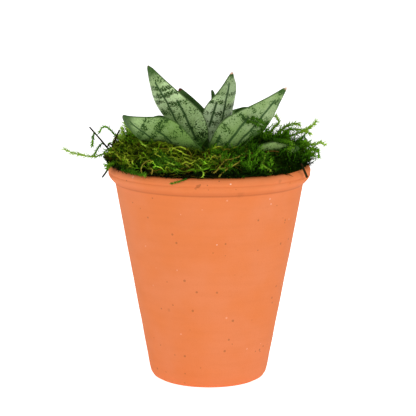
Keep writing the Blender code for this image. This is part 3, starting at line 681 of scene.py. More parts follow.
def blade_skin(name, blade, look, settings, top):
    """Waxy leaf skin: silver green ground, mottled dark cross bands, impressed lines, a dark margin, painted
    light and shade.
    """
    material, w, shader, point = new_material("skin_" + name, 0.44, 0.10)
    dark, deepest = tuple(settings.band), tuple(settings.deepest)
    place, in_mm = w.own("blade", "Vector"), w.own("blade_mm", "Vector")
    across, along, face = w.parts(place)
    ground = look.get("ground", tuple(settings.silver))
    # The ground's brightness at the foot and the tip: the blade's own paleness, with painted light on a blade
    # that lies in shade.
    low, high = (tuple(c * share for c in ground) for share in look.get("pale", (1.0, 1.0)))
    silver = w.blend(w.ramp(along, 0.45, 0.92), low, high)
    flat = w.vector("MULTIPLY", in_mm, (1.0, 1.0, 0.0))
    seed = w.vector("ADD", flat, (13.7 * (sum(map(ord, name)) % 17), 0.0, 0.0))
    seed = w.vector("ADD", seed, w.vector("MULTIPLY", place, (0.0, 0.0, 9.0)))
    grit = w.noise(w.vector("MULTIPLY", seed, (0.75, 1.15, 1.0)), 1.35, 3.0, 0.62)
    clots = w.noise(seed, 0.34)
    moved = w.plus(along, w.swing(w.noise(seed, 0.13, 3.0, 0.6), 0.06))
    moved = w.plus(moved, w.times(across, look.get("slant", 0.0)))
    band = band_ramp(w, moved, look["bands"])
    if "beyond" in look:
        other = band_ramp(w, moved, look["beyond"])
        side = w.ramp(across, look["seam"] - 0.03, look["seam"] + 0.03)
        share = side if look.get("mirrored") else w.minus(1.0, side)
        band = w.mixed(share, other, band)
    amount = w.plus(w.times(band, 0.80), w.times(w.swing(clots, 1.9), w.mixed(band, 0.6, 0.9)))
    amount = w.plus(amount, w.times(w.own("marks"), 0.6), clamp=True)
    amount = w.math("MINIMUM", amount, 0.80)
    over = w.minus(grit, w.minus(0.625, w.times(amount, 0.245)))
    darkness = w.ramp(over, -0.025, 0.022)
    green = w.tinted(silver, (0.21, 0.345, 0.09), w.ramp(w.noise(seed, 0.08), 0.35, 0.65), 0.55)
    green = w.tinted(green, (0.13, 0.26, 0.050), amount, look.get("tint", 0.45))
    lower = w.ramp(w.plus(along, w.swing(clots, 0.5)), 0.82, 0.45)
    green = w.tinted(green, (0.17, 0.315, 0.060), lower, look.get("foot", 0.80) * 0.75)
    powder = w.ramp(w.noise(seed, 2.3, 2.0, 0.7), 0.45, 0.66)
    green = w.tinted(green, (0.115, 0.235, 0.040), powder, 0.34)
    # Painted light and shade: the whole skin brighter or darker below and above the middle, for the light
    # that the blade gets, under a cap.
    if "light" in look:
        green = w.vector("MULTIPLY", green, w.ramp(along, 0.42, 0.68, *look["light"]))
        green = w.vector("MINIMUM", green, (0.64, 0.82, 0.47))
    colour = w.tinted(green, dark, darkness, 0.88)
    colour = w.tinted(colour, deepest, w.ramp(over, 0.045, 0.10), 0.85)
    colour = w.tinted(colour, dark, specks(w, seed, 0.95, 0.16), 0.6)
    elsewhere = w.vector("ADD", seed, (5.0, 3.0, 0.0))
    colour = w.tinted(colour, (0.42, 0.55, 0.30), specks(w, elsewhere, 1.3, 0.16), 0.16)
    grooves = None
    for route in look["grooves"]:
        ends = [blade.flat(t, v) for t, v in route]
        for start, end in zip(ends, ends[1:]):
            mask = impressed_line(w, flat, start, end, 1.05)
            grooves = mask if grooves is None else w.math("MAXIMUM", grooves, mask)
    if grooves is not None:
        grooves = w.times(grooves, w.ramp(face, 0.2, -0.2))
        colour = w.tinted(colour, (0.030, 0.085, 0.018), grooves, 0.92)
    # Painted shade: the blade's inner face is darker, for it lies in shade.
    inner = w.tinted((0.085, 0.17, 0.04), (0.028, 0.075, 0.012), darkness, 0.8)
    colour = w.tinted(colour, inner, w.ramp(face, 0.1, 0.6), 0.9)
    # The green foot of the blade; a bright `base` is painted light on a foot that lies in deep shade.
    foot = w.ramp(w.plus(along, w.times(clots, 0.22)), 0.60, 0.32)
    colour = w.tinted(colour, look.get("base", (0.052, 0.165, 0.009)), foot, look.get("foot", 0.80))
    # Painted shade on one side of the blade.
    if "shade" in look:
        slope, offset, low, high, strength = look["shade"]
        apart = w.minus(across, w.plus(w.times(along, slope), offset))
        apart = w.plus(apart, w.swing(clots, 0.35))
        shaded = w.times(w.ramp(apart, low, high), w.ramp(along, 0.85, 0.6) if slope == 0 else 1.0)
        colour = w.tinted(colour, (0.032, 0.095, 0.012), shaded, strength)
    # Painted shade over a blade that lies in shade behind the others.
    if "deep" in look:
        colour = w.blend(w.ramp(face, -0.2, 0.3, 0.0, look["deep"]), colour, (0.010, 0.040, 0.0015))
    margin = w.ramp(w.parts(in_mm)[2], 1.0, 0.2)
    colour = w.tinted(colour, (0.035, 0.085, 0.012), margin, 0.85)
    dark_tip = look["dark_tip"]
    capped = w.ramp(w.plus(along, w.swing(grit, 0.05)), 1 - 1.35 * dark_tip, 1 - 0.7 * dark_tip)
    colour = w.tinted(colour, (0.040, 0.105, 0.015), capped, 0.88)
    start = look.get("tip_start", 0.978)
    end = w.ramp(along, start, start + 0.014)
    if "tip_top" in look:
        depth = look["tip_top"] * MM
        end = w.ramp(w.parts(point)[2], top - depth, top - 0.6 * depth)
    w.feed(shader, "Base Color", w.blend(end, colour, look["tip"]))
    w.feed(shader, "Roughness", w.plus(w.times(grit, 0.2), 0.36))
    grain = fine_grain(w, w.vector("MULTIPLY", seed, (1.0, 0.45, 1.0)), 3.0)
    relief = w.minus(w.times(grain, 0.3), w.times(darkness, 0.12))
    if grooves is not None:
        relief = w.minus(relief, grooves)
    add_bump(w, shader, relief, 0.22 * MM, 0.8)
    return material


def moss_skin(name, dark, middle, light, warm, warm_share, lush=False):
    """Moss: dark at the roots and light at the tips, varied from shoot to shoot and in soft patches. The dark
    roots are partly painted shade of the depth among the shoots, and painted shade darkens it low by the rim.

    A lush moss is greener in patches and along its outer side.
    """
    material, w, shader, point = new_material(name, 0.95, 0.04)
    tone = w.own("tone")
    x, _, height = w.parts(point)
    patches = cloudy_patches(w, point, 115.0, 0.36, 0.64)
    lightness = w.plus(w.times(tone, 0.5), w.times(patches, 0.45))
    # Darker low on each shoot and strand and lighter at the tips: the moss's own darker roots, with painted
    # shade of the depth among the shoots.
    lightness = w.plus(lightness, w.swing(w.own("reach"), 0.8))
    # Painted shade: the moss goes darker low down by the rim.
    lightness = w.minus(lightness, w.ramp(height, 140 * MM, 134 * MM, 0.0, 0.60))
    colour = w.blend(w.ramp(lightness, 0.0, 0.55), dark, middle)
    colour = w.blend(w.ramp(lightness, 0.55, 1.15), colour, light)
    browned = w.math("LESS_THAN", w.math("FRACT", w.times(tone, 7.31)), warm_share)
    colour = w.tinted(colour, warm, browned, 0.75)
    if lush:
        outer = w.times(w.ramp(x, -36 * MM, -46 * MM), w.ramp(height, 146 * MM, 152 * MM))
        fresh = w.times(cloudy_patches(w, point, 60.0, 0.52, 0.62), 0.7)
        greener = w.vector("MULTIPLY", colour, (0.62, 1.35, 0.8))
        colour = w.blend(w.math("MAXIMUM", outer, fresh), colour, greener)
    w.feed(shader, "Base Color", colour)
    add_bump(w, shader, w.noise(point, 2600.0), 0.2 * MM, 0.6)
    return material


def moss_ground(name, dark, middle):
    """The felt of old moss under the live shoots, near-black: partly its own colour and partly painted shade.
    """
    material, w, shader, point = new_material(name, 0.98, 0.0)
    colour = w.blend(cloudy_patches(w, point, 600.0, 0.35, 0.7), dark, middle)
    w.feed(shader, "Base Color", w.tinted(colour, dark, cloudy_patches(w, point, 90.0, 0.35, 0.7), 0.5))
    add_bump(w, shader, fine_grain(w, point, 900.0), 1.5 * MM)
    return material


def strand_skin(name, base, tip, streak):
    """A single strand: one colour at its foot and another at its tip, with streaks along it."""
    material, w, shader, point = new_material(name, 0.85, 0.08)
    colour = w.blend(w.ramp(w.own("reach"), 0.1, 0.9), base, tip)
    colour = w.tinted(colour, streak, cloudy_patches(w, point, 900.0, 0.42, 0.60), 0.75)
    w.feed(shader, "Base Color", colour)
    add_bump(w, shader, w.noise(point, 2200.0), 0.2 * MM, 0.6)
    return material


# Pot

POT_PROFILE = [
    (0, 7.5), (28, 7.5), (29.4, 7.9), (30.3, 9.0), (31.0, 11), (36, 34), (42, 64), (47, 92), (50.2, 112),
    (51.2, 119), (51.5, 124), (51.5, 129.0), (51.8, 130.6), (52.7, 131.9), (54.2, 132.5), (56.8, 132.5),
    (58.6, 132.3), (60.1, 131.6), (61.1, 130.5), (61.5, 129.2), (61.45, 128.3), (61.15, 127.75),
    (61.12, 127.35), (61.35, 126.9), (61.2, 125.9), (60.6, 124.8), (59.7, 123.6), (58.6, 122.4),
    (57.7, 121.6), (57.25, 120.9), (57.0, 120.0), (55.4, 111), (52.3, 94), (49.2, 77), (46.0, 60),
    (43.0, 43.5), (40.2, 28), (38.0, 16), (36.4, 7.2), (35.6, 3.8), (34.2, 1.6), (31.9, 0.35), (29.6, 0),
    (0, 0)]

# Small marks on the clay: place in the picture, radius in millimetres, colour and strength.
CHALK, SOOT, RUST = (0.95, 0.80, 0.66), (0.10, 0.035, 0.01), (0.38, 0.10, 0.025)
POT_SPOTS = [
    (217, 245, 0.45, CHALK, 0.9), (230.6, 184.2, 0.5, CHALK, 0.7), (270, 199, 0.6, CHALK, 0.35),
    (271, 204, 0.6, CHALK, 0.35), (133, 177, 0.8, CHALK, 0.25), (198, 186.5, 1.5, RUST, 0.7),
    (200, 185, 0.7, SOOT, 0.5), (195.5, 188.5, 0.9, RUST, 0.4), (240, 195, 3.0, RUST, 0.22),
    (280, 181.5, 1.8, RUST, 0.25), (219, 181.2, 0.5, SOOT, 0.85), (207.5, 185.3, 0.4, SOOT, 0.6),
    (208.5, 190, 0.5, RUST, 0.7), (236, 189.5, 0.4, SOOT, 0.5), (126.6, 180.3, 0.6, SOOT, 0.6),
    (277, 205.5, 0.5, RUST, 0.6), (283, 218, 0.4, RUST, 0.6), (213, 253, 0.5, RUST, 0.5),
    (167, 282, 0.5, RUST, 0.45), (175, 355, 0.6, RUST, 0.45), (169, 310, 1.2, RUST, 0.22),
    (235, 275, 0.5, RUST, 0.35), (190, 330, 0.4, RUST, 0.4), (252, 320, 0.5, RUST, 0.3)]


def turned_points(profile, sides):
    """Rings of a turned form, fine enough to read as round, with the faint waver of a thrown pot."""
    dense = []
    for (r0, z0), (r1, z1) in zip(profile, profile[1:]):
        steps = max(1, int(hypot(r1 - r0, z1 - z0) / 3.2))
        dense += [(mix(r0, r1, i / steps), mix(z0, z1, i / steps)) for i in range(steps)]
    dense.append(profile[-1])
    points, faces = [], []
    for r, z in dense[1:-1]:
        for i in range(sides):
            angle = tau * i / sides
            swell = 0.12 * noise.noise(Vector((cos(angle) * 1.6, sin(angle) * 1.6, z * 0.05)))
            ridge = 0.05 * sin(z * 1.9 + 0.6 * sin(angle)) if 4 < z < 119 and r > 33 else 0
            wide = r + (swell + ridge) * min(1, r / 30) if z > 1 else r
            points.append((wide * cos(angle) * MM, wide * sin(angle) * MM, z * MM))
    rings = len(dense) - 2
    for k in range(rings - 1):
        for i in range(sides):
            j = (i + 1) % sides
            faces.append((k * sides + i, k * sides + j, (k + 1) * sides + j, (k + 1) * sides + i))
    for ring, height in ((0, dense[0][1]), (rings - 1, dense[-1][1])):
        middle = len(points)
        points.append((0, 0, height * MM))
        for i in range(sides):
            faces.append((ring * sides + i, ring * sides + (i + 1) % sides, middle))
    return points, faces


def drill_holes(pot):
    drills = []
    for i in range(DRAIN_HOLES):
        angle = tau * i / DRAIN_HOLES + pi / 2
        place = (DRAIN_RING_RADIUS * cos(angle), DRAIN_RING_RADIUS * sin(angle), 4 * MM)
        bpy.ops.mesh.primitive_cylinder_add(
            vertices=40, radius=DRAIN_HOLE_RADIUS, depth=30 * MM, location=place)
        drills.append(bpy.context.object)
        cut = pot.modifiers.new("drain", "BOOLEAN")
        cut.operation = "DIFFERENCE"
        cut.object = drills[-1]
        cut.solver = "EXACT"
    made = baked(pot, pot.name)
    for drill in drills:
        remove_object(drill)
    return made


def build_pot(settings):
    points, faces = turned_points(POT_PROFILE, settings.sides)
    wall = BVHTree.FromPolygons([Vector(point) for point in points], faces)
    spots = []
    for x, y, size, tint, strength in POT_SPOTS:
        hit = wall.ray_cast(CAMERA_PLACE, picture_ray(x, y))[0]
        spots.append((tuple(hit), size * MM, tint, strength))
    pot = new_object("clay_pot", points, faces, terracotta(settings, spots))
    faced_outwards(pot)
    pot = drill_holes(pot)
    pot.data.shade_smooth()
    pot.data.set_sharp_from_angle(angle=radians(50))
    hand_in(pot, "terracotta", "pot")


# Leaves

class Blade:
    """A channelled, pointed blade that clasps the crown, rises, then bends outwards. In millimetres."""

    def __init__(self, tier, azimuth, clasp, climb, splay, lean, bend, tip, width, widest, fold, tip_fold,
                 roll, taper, tip_width):
        outward = np.array((cos(radians(azimuth)), sin(radians(azimuth)), 0))
        sideways = np.array((-outward[1], outward[0], 0))
        radius, height = TIERS[tier]
        start = outward * radius + (0, 0, height)
        rise = outward * sin(radians(splay)) + (0, 0, cos(radians(splay)))
        rise = rise * cos(radians(lean)) + sideways * sin(radians(lean))
        self.controls = (start, start + rise * climb, np.array(bend, float), np.array(tip, float))
        self.clasp, self.fold, self.tip_fold = radians(clasp), radians(fold), radians(tip_fold)
        self.base_width = 2 * self.clasp * radius
        self.width, self.widest, self.taper, self.roll = width, widest, taper, radians(roll)
        self.tip_width = tip_width
        stations = np.linspace(0, 1, 400)
        spine = self.spine(stations)[0]
        steps = np.linalg.norm(np.diff(spine, axis=0), axis=1)
        self.stations, self.lengths = stations, np.concatenate([[0], np.cumsum(steps)])

    def spine(self, t):
        """Points of the spine, the normals of the blade's inner side, and its sideways directions."""
        a, b, c, d = self.controls
        t = np.asarray(t, float)[:, None]
        s = 1 - t
        point = a * s**3 + b * 3 * s * s * t + c * 3 * s * t * t + d * t**3
        tangent = unit((b - a) * s * s + (c - b) * 2 * s * t + (d - c) * t * t)
        tangent = unit(mix(np.array((0.0, 0.0, 1.0)), tangent, smooth(t / FOOT)))
        inward = unit(-point * (1, 1, 0))
        normal = unit(inward - tangent * (inward * tangent).sum(1, keepdims=True))
        side = np.cross(normal, tangent)
        turn = self.roll * smooth((t - 0.05) / 0.75)
        return point, normal * np.cos(turn) + side * np.sin(turn), side * np.cos(turn) - normal * np.sin(turn)

    def half_angle(self, t):
        below = mix(self.clasp, self.fold, smooth(t / self.widest))
        above = mix(self.fold, self.tip_fold, smooth((t - self.widest) / (1 - self.widest)))
        return np.where(t < self.widest, below, above)

    def breadth(self, t):
        below = mix(self.base_width, self.width, smooth(t / self.widest) ** 0.8)
        taper = np.clip((t - self.widest) / (1 - self.widest), 0, 1)
        return np.where(t < self.widest, below, mix(self.width, self.tip_width, taper**self.taper))

    def length(self, t):
        return np.interp(t, self.stations, self.lengths)

    def flat(self, t, v):
        """Place of (along, across) on a flat map of the blade, in millimetres."""
        return (float(v * self.breadth(np.array(t)) / 2), float(self.length(t)), 0.0)

    def rows(self, count):
        """Stations along the blade, closer together where its tip rounds off, and how full each is."""
        end = 1.3 / self.lengths[-1]
        even = np.linspace(0, 1 - end, count)
        closing = 1 - end + end * np.array([0.35, 0.62, 0.82, 0.95, 1.0])
        rounded = np.sqrt(1 - np.array([0.35, 0.62, 0.82, 0.95, 0.995]) ** 2)
        return np.concatenate([even, closing]), np.concatenate([np.ones(count), rounded])

    def grid(self, rows, columns, grooves):
        """The stations, the places across, the points of both faces, and the places in millimetres."""
        t, fullness = self.rows(rows)
        spread = self.breadth(t) * fullness
        rim = np.minimum(1.0 / np.maximum(spread, 0.2), 0.5)
        inner_v = np.linspace(-1, 1, columns)[None, :] * (1 - rim)[:, None]
        margin = np.array([0.0, 0.12, 0.45])[None, :] * rim[:, None]
        v = np.concatenate([-1 + margin, inner_v, (1 - margin)[:, ::-1]], axis=1)
        edge = (1 - np.abs(v)) * spread[:, None] / 2
        rounding = np.sqrt(1 - (1 - np.clip(edge / 0.45, 0, 1)) ** 2)
        thick = mix(BLADE_THICKNESS * (1 - 0.45 * t)[:, None], MARGIN_THICKNESS, np.abs(v) ** 2.2)
        thick = thick * rounding * fullness[:, None]
        half = self.half_angle(t)
        radius = self.breadth(t) / (2 * half)
        turn = v * half[:, None] * fullness[:, None]
        point, normal, side = self.spine(t)
        across = v * spread[:, None] / 2
        along = np.repeat(self.length(t)[:, None], v.shape[1], 1)
        waves = 0.16 * np.sin(along * 0.31 + across * 0.22 + self.width)
        waves += 0.10 * np.sin(along * 0.83 - across * 0.4)
        waves *= smooth(edge / 2) * smooth(t / 0.2)[:, None]
        dip = np.zeros_like(v)
        for route in grooves:
            ends = [np.array(self.flat(a, b)[:2]) for a, b in route]
            for start, end in zip(ends, ends[1:]):
                line = end - start
                share = ((across - start[0]) * line[0] + (along - start[1]) * line[1]) / (line @ line)
                share = np.clip(share, 0, 1)
                apart = np.hypot(across - start[0] - share * line[0], along - start[1] - share * line[1])
                dip = np.maximum(dip, np.exp(-(apart / 0.8) ** 2))
        faces = []
        for face in (-1, 1):
            pressed = (face < 0) * 0.24 * dip * rounding
            spoke = radius[:, None] - face * thick / 2 + waves * 0.5 - pressed
            offset = radius[:, None] - spoke * np.cos(turn)
            faces.append(point[:, None] + normal[:, None] * offset[..., None]
                         + side[:, None] * (spoke * np.sin(turn))[..., None])
        return t, v, faces, across, along, edge


def sheet_faces(rows, columns, offset, flip):
    made = []
    for i in range(rows - 1):
        for j in range(columns - 1):
            corners = [offset + i * columns + j, offset + (i + 1) * columns + j,
                       offset + (i + 1) * columns + j + 1, offset + i * columns + j + 1]
            made.append(corners[::-1] if flip else corners)
    return made


def build_leaf(name, rows, columns, settings):
    look = LOOKS[name]
    blade = Blade(*LEAVES[name])
    t, v, (outer, inner), across, along, edge = blade.grid(rows, columns, look["grooves"])
    count, wide = v.shape
    total = count * wide
    points = np.concatenate([outer.reshape(-1, 3), inner.reshape(-1, 3)]) * MM
    faces = sheet_faces(count, wide, 0, False) + sheet_faces(count, wide, total, True)
    for row, flip in ((0, False), (count - 1, True)):
        for j in range(wide - 1):
            a, b = row * wide + j, row * wide + j + 1
            strip = [a, b, b + total, a + total]
            faces.append(strip[::-1] if flip else strip)
    skin = blade_skin(name, blade, look, settings, points[:, 2].max())
    leaf = new_object("blade_" + name, points, faces, skin)
    places, maps = [], []
    for face in (-1.0, 1.0):
        facing = face * np.clip(edge / 0.4, 0, 1)
        places.append(np.stack([v, np.repeat(t[:, None], wide, 1), facing], -1).reshape(-1, 3))
        maps.append(np.stack([across, along, edge], -1).reshape(-1, 3))
    add_attribute(leaf, "blade", np.concatenate(places))
    add_attribute(leaf, "blade_mm", np.concatenate(maps))
    clots = np.zeros_like(v)
    for share, sideways, size, strength in look.get("marks", []):
        middle = blade.flat(share, sideways)
        clots += strength * np.exp(-((across - middle[0]) ** 2 + (along - middle[1]) ** 2) / size**2)
    add_attribute(leaf, "marks", np.concatenate([clots.ravel()] * 2))
    faced_outwards(leaf, 0.002 * MM)
    hand_in(leaf, "leaf", name)


# Moss beds

def soil_height(r):
    share = min(r / SOIL_REACH, 1)
    return mix(SOIL_EDGE_Z, SOIL_CROWN_Z, 0.5 + 0.5 * cos(pi * share))


def moss_section(azimuth):
    """Crest radius and height, edge radius and height, and reach of the moss, in metres."""
    azimuth %= 360
    low = int(azimuth // 45) * 45
    share = float(smooth((azimuth - low) / 45))
    return [mix(a, b, share) * MM for a, b in zip(MOSS_SECTIONS[low], MOSS_SECTIONS[(low + 45) % 360])]


def along_line(stops, share):
    """Point at a share of the way along a line through stops (share, radius, height)."""
    for (s0, r0, z0), (s1, r1, z1) in zip(stops, stops[1:]):
        if share <= s1 + 1e-6:
            part = (share - s0) / (s1 - s0)
            return mix(r0, r1, part), mix(z0, z1, part)
    return stops[-1][1:]


class MossBed:
    """A lumpy sector of moss that lies on the soil, goes over the rim and stays clear of the leaves."""

    def __init__(self, start, end, leaves):
        self.start, self.end, self.leaves = start, end, leaves

    def inner_edge(self, along):
        azimuth = radians(mix(self.start, self.end, along))
        outward = Vector((cos(azimuth), sin(azimuth), 0))
        radius = CROWN_RADIUS + 1 * MM
        for step in range(12):
            height = Vector((0, 0, mix(121, 139, step / 11) * MM))
            hit = self.leaves.ray_cast(outward * 30 * MM + height, -outward, 30 * MM)
            if hit[0]:
                radius = max(radius, hypot(hit[0].x, hit[0].y) + 1.6 * MM)
        return min(radius, 22 * MM)

    def place(self, along, r, z):
        seam = degrees(asin(0.25 * MM / r))
        azimuth = radians(mix(self.start + seam, self.end - seam, along))
        return Vector((r * cos(azimuth), r * sin(azimuth), z))

    def under(self, along, across, inner):
        reach = moss_section(mix(self.start, self.end, along))[4]
        wall = RIM_INNER_RADIUS - 0.8 * MM
        over_rim = POT_HEIGHT + GAP
        stops = [(0, inner, 0), (0.25, mix(inner, wall, 0.5), 0), (0.5, wall, 0)]
        stops = [(share, r, soil_height(r) + 2 * GAP) for share, r, _ in stops]
        stops += [(0.625, wall + 0.2 * MM, over_rim), (1, reach - 0.4 * MM, over_rim)]
        return self.place(along, *along_line(stops, across))

    def over(self, along, across, inner):
        crest_r, crest_z, edge_r, edge_z, reach = moss_section(mix(self.start, self.end, along))
        stops = [(0, inner, MOSS_INNER_Z), (0.375, crest_r, crest_z), (0.75, edge_r, edge_z),
                 (1, reach, MOSS_SKIRT_Z)]
        point = self.place(along, *along_line(stops, across))
        calm = 1 if across < 0.9 else 0.5
        point.z += (1.5 * noise.noise(point * 160) + 0.7 * noise.noise(point * 420)) * calm * MM - 2.4 * MM
        apart = hypot(LOW_STRETCH * (point.x - LOW_PLACE.x), LOW_STRETCH * (point.y - LOW_PLACE.y))
        point.z -= LOW_DEPTH * float(smooth(1 - apart / LOW_SPREAD))
        return self.below_leaves(point)

    def below_leaves(self, point):
        """Lowers a point until it is clear of every leaf above it and beside it."""
        for i in range(9):
            reach = 2.2 * MM if i < 8 else 0
            around = Vector((cos(tau * i / 8), sin(tau * i / 8), 0)) * reach
            foot = Vector((point.x, point.y, SOIL_CROWN_Z + 3 * MM)) + around
            hit = self.leaves.ray_cast(foot, Vector((0, 0, 1)), 60 * MM)
            if hit[0]:
                point.z = min(point.z, hit[0].z - 1.2 * MM)
        while self.leaves.find_nearest(point)[3] < 1.4 * MM and point.z > SOIL_CROWN_Z + 3 * MM:
            point.z -= 0.5 * MM
        return point


def moss_meshes(name, rows, columns, leaves, material):
    """The closed bed of a moss, and its open upper side to scatter shoots on."""
    start, end = MOSSES[name]
    bed = MossBed(start, end, leaves)
    upper, lower = [], []
    for i in range(rows):
        along = i / (rows - 1)
        inner = bed.inner_edge(along)
        for j in range(columns):
            across = j / (columns - 1)
            upper.append(bed.over(along, across, inner))
            lower.append(bed.under(along, across, inner))
    total = rows * columns
    faces = sheet_faces(rows, columns, 0, True) + sheet_faces(rows, columns, total, False)
    loop = list(range(columns))
    loop += [i * columns + columns - 1 for i in range(1, rows)]
    loop += [(rows - 1) * columns + j for j in range(columns - 2, -1, -1)]
    loop += [i * columns for i in range(rows - 2, -1, -1)]
    faces += [(a, b, b + total, a + total) for a, b in zip(loop, loop[1:])]
    piece = new_object(name + "_bed", upper + lower, faces, material)
    faced_outwards(piece)
    return piece, new_object(name + "_sheet", upper, sheet_faces(rows, columns, 0, True))


# Geometry trees

def own_side(w, position, side):
    """Whether a point lies on this moss's side of the border, which is ragged and has a few strays."""
    ragged = w.swing(w.noise(position, 55.0, 2.0, 0.6), 0.075)
    return w.math("GREATER_THAN", w.plus(w.vector("DOT_PRODUCT", position, side), ragged), 0.0)


def level(w, vector):
    """A vector's direction once it is laid level, which for a place is the way out from the axis."""
    return w.vector("NORMALIZE", w.vector("MULTIPLY", vector, (1.0, 1.0, 0.0)))


def drift(w, position, scale, detail=1.0):
    """A vector that wanders from place to place, so that neighbours lean alike."""
    return w.vector("SUBTRACT", w.noise(position, scale, detail, output="Color"), (0.5, 0.5, 0.5))


def spiral(w, tilt):
    """The turn of each leaflet round its stem, tilted away from it."""
    angles = w.add("ShaderNodeCombineXYZ", {1: tilt, 2: w.times(w.add("GeometryNodeInputIndex"), SPIRAL)})
    return w.add("FunctionNodeEulerToRotation", {0: angles})


@built_once
def feathery_shoot(name):
    """One moss shoot, one unit tall: a bent stem with small leaflets in a spiral."""
    tree, w, source, sink = geometry_group(name, {
        "Leaflets": 12, "Leaflet Length": 0.3, "Leaflet Width": 0.06, "Bend": 0.3, "Stem": 0.03})
    line = w.add("GeometryNodeCurvePrimitiveLine", {"End": (0, 0, 1)})

    def bent(count):
        points = w.add("GeometryNodeResampleCurve", {"Curve": line, "Count": count})
        factor = w.add("GeometryNodeSplineParameter").outputs["Factor"]
        sag = w.times(w.math("POWER", factor, 2.0), source["Bend"])
        offset = w.add("ShaderNodeCombineXYZ", {0: sag, 2: w.times(sag, -0.35)})
        return w.add("GeometryNodeSetPosition", {"Geometry": points, "Offset": offset}), factor

    spine, factor = bent(4)
    stem = w.tube(spine, 3, w.times(w.minus(1.0, w.times(factor, 0.7)), source["Stem"]))
    places, factor = bent(source["Leaflets"])
    leaflets = w.add("GeometryNodeInstanceOnPoints", {
        "Points": places, "Instance": w.leaflet(source), "Rotation": spiral(w, w.mixed(factor, 1.25, 0.35)),
        "Scale": w.mixed(w.math("POWER", factor, 2.0), 1.0, 0.55)})
    height = w.times(w.parts(w.add("GeometryNodeInputPosition"))[2], 1.0, clamp=True)
    w.feed(sink, "Geometry", w.store(w.solid(stem, leaflets), "reach", height))
    return tree


@built_once
def feathery_moss(name):
    """Feathery shoots all over a sheet, in leaning tufts that stop short of the leaves."""
    tree, w, source, sink = geometry_group(name, {
        "Leaves": "NodeSocketObject", "Shoots per Area": 400000.0, "Shortest": 0.004, "Longest": 0.009,
        "Spread": 1.0, "Droop": 0.25, "Side": NOWHERE, "Tufting": 2.2, "Sink": 0.001, "Thickness": 1.0,
        "Low Place": NOWHERE, "Low Size": 0.001, "Seed": 1, "Material": "NodeSocketMaterial"})
    seed = source["Seed"]
    scatter = w.add("GeometryNodeDistributePointsOnFaces", {
        "Mesh": source["Geometry"], "Density": source["Shoots per Area"], "Seed": seed})
    position = w.add("GeometryNodeInputPosition").outputs[0]
    lean = w.add("FunctionNodeRandomValue", {0: (-1, -1, -0.4), 1: (1, 1, 1), "Seed": seed},
                 data_type="FLOAT_VECTOR").outputs[0]
    heading = w.vector("ADD", w.out(scatter, "Normal"), w.scaled(level(w, position), source["Droop"]))
    heading = w.vector("ADD", heading, w.scaled(lean, source["Spread"]))
    heading = w.vector("ADD", heading, w.scaled(drift(w, position, 150.0), source["Tufting"]))
    heading = w.vector("NORMALIZE", w.vector("ADD", heading, (0.0, 0.0, 0.1)))
    ahead, room, nearest = w.clearance(source["Leaves"], position, heading, 30 * MM, 1.2 * MM)
    size = w.chance(seed, 5, source["Shortest"], source["Longest"])
    size = w.times(size, w.ramp(w.noise(position, 110.0, 1.0), 0.3, 0.7, 0.7, 1.25))
    apart = w.vector("MULTIPLY", w.vector("SUBTRACT", position, source["Low Place"]),
                     (LOW_STRETCH, LOW_STRETCH, 0.0))
    low_size = source["Low Size"]
    size = w.times(size, w.ramp(w.vector("LENGTH", apart), w.times(low_size, 0.6), low_size, 0.35, 1.0))
    size = w.mixed(ahead, size, w.math("MINIMUM", size, room))
    size = w.math("MINIMUM", size, w.times(nearest, 2.2))
    marked = w.store(w.out(scatter, "Points"), "tone", w.chance(seed, 9))
    sunk = w.add("GeometryNodeSetPosition", {
        "Geometry": marked, "Offset": w.scaled(heading, w.times(source["Sink"], -1.0))})
    kinds = w.add("GeometryNodeJoinGeometry")
    for leaflets, length, bend in ((13, 0.30, 0.15), (11, 0.36, 0.45), (12, 0.26, -0.3)):
        shoot = w.add("GeometryNodeGroup", {
            "Leaflets": leaflets, "Leaflet Length": length,
            "Leaflet Width": w.times(source["Thickness"], 0.062),
            "Bend": bend, "Stem": w.times(source["Thickness"], 0.035)}, node_tree=feathery_shoot())
        w.feed(kinds, "Geometry", w.add("GeometryNodeGeometryToInstance", {"Geometry": shoot}))
    aligned = w.add("FunctionNodeAlignRotationToVector", {"Vector": heading}, axis="Z")
    spun = w.add("FunctionNodeAxisAngleToRotation", {"Axis": (0, 0, 1), "Angle": w.chance(seed, 3, 0.0, tau)})
    turned = w.add("FunctionNodeRotateRotation", {"Rotation": aligned, "Rotate By": spun},
                   rotation_space="LOCAL")
    kind = w.add("FunctionNodeRandomValue", {4: 0, 5: 2, "Seed": w.plus(seed, 7.0)},
                 data_type="INT").outputs[2]
    chosen = w.times(w.math("GREATER_THAN", size, 1.6 * MM), own_side(w, position, source["Side"]))
    shoots = w.add("GeometryNodeInstanceOnPoints", {
        "Points": sunk, "Selection": chosen, "Instance": kinds, "Pick Instance": True, "Instance Index": kind,
        "Rotation": turned, "Scale": size})
    w.feed(sink, "Geometry", w.coated(source, shoots))
    return tree


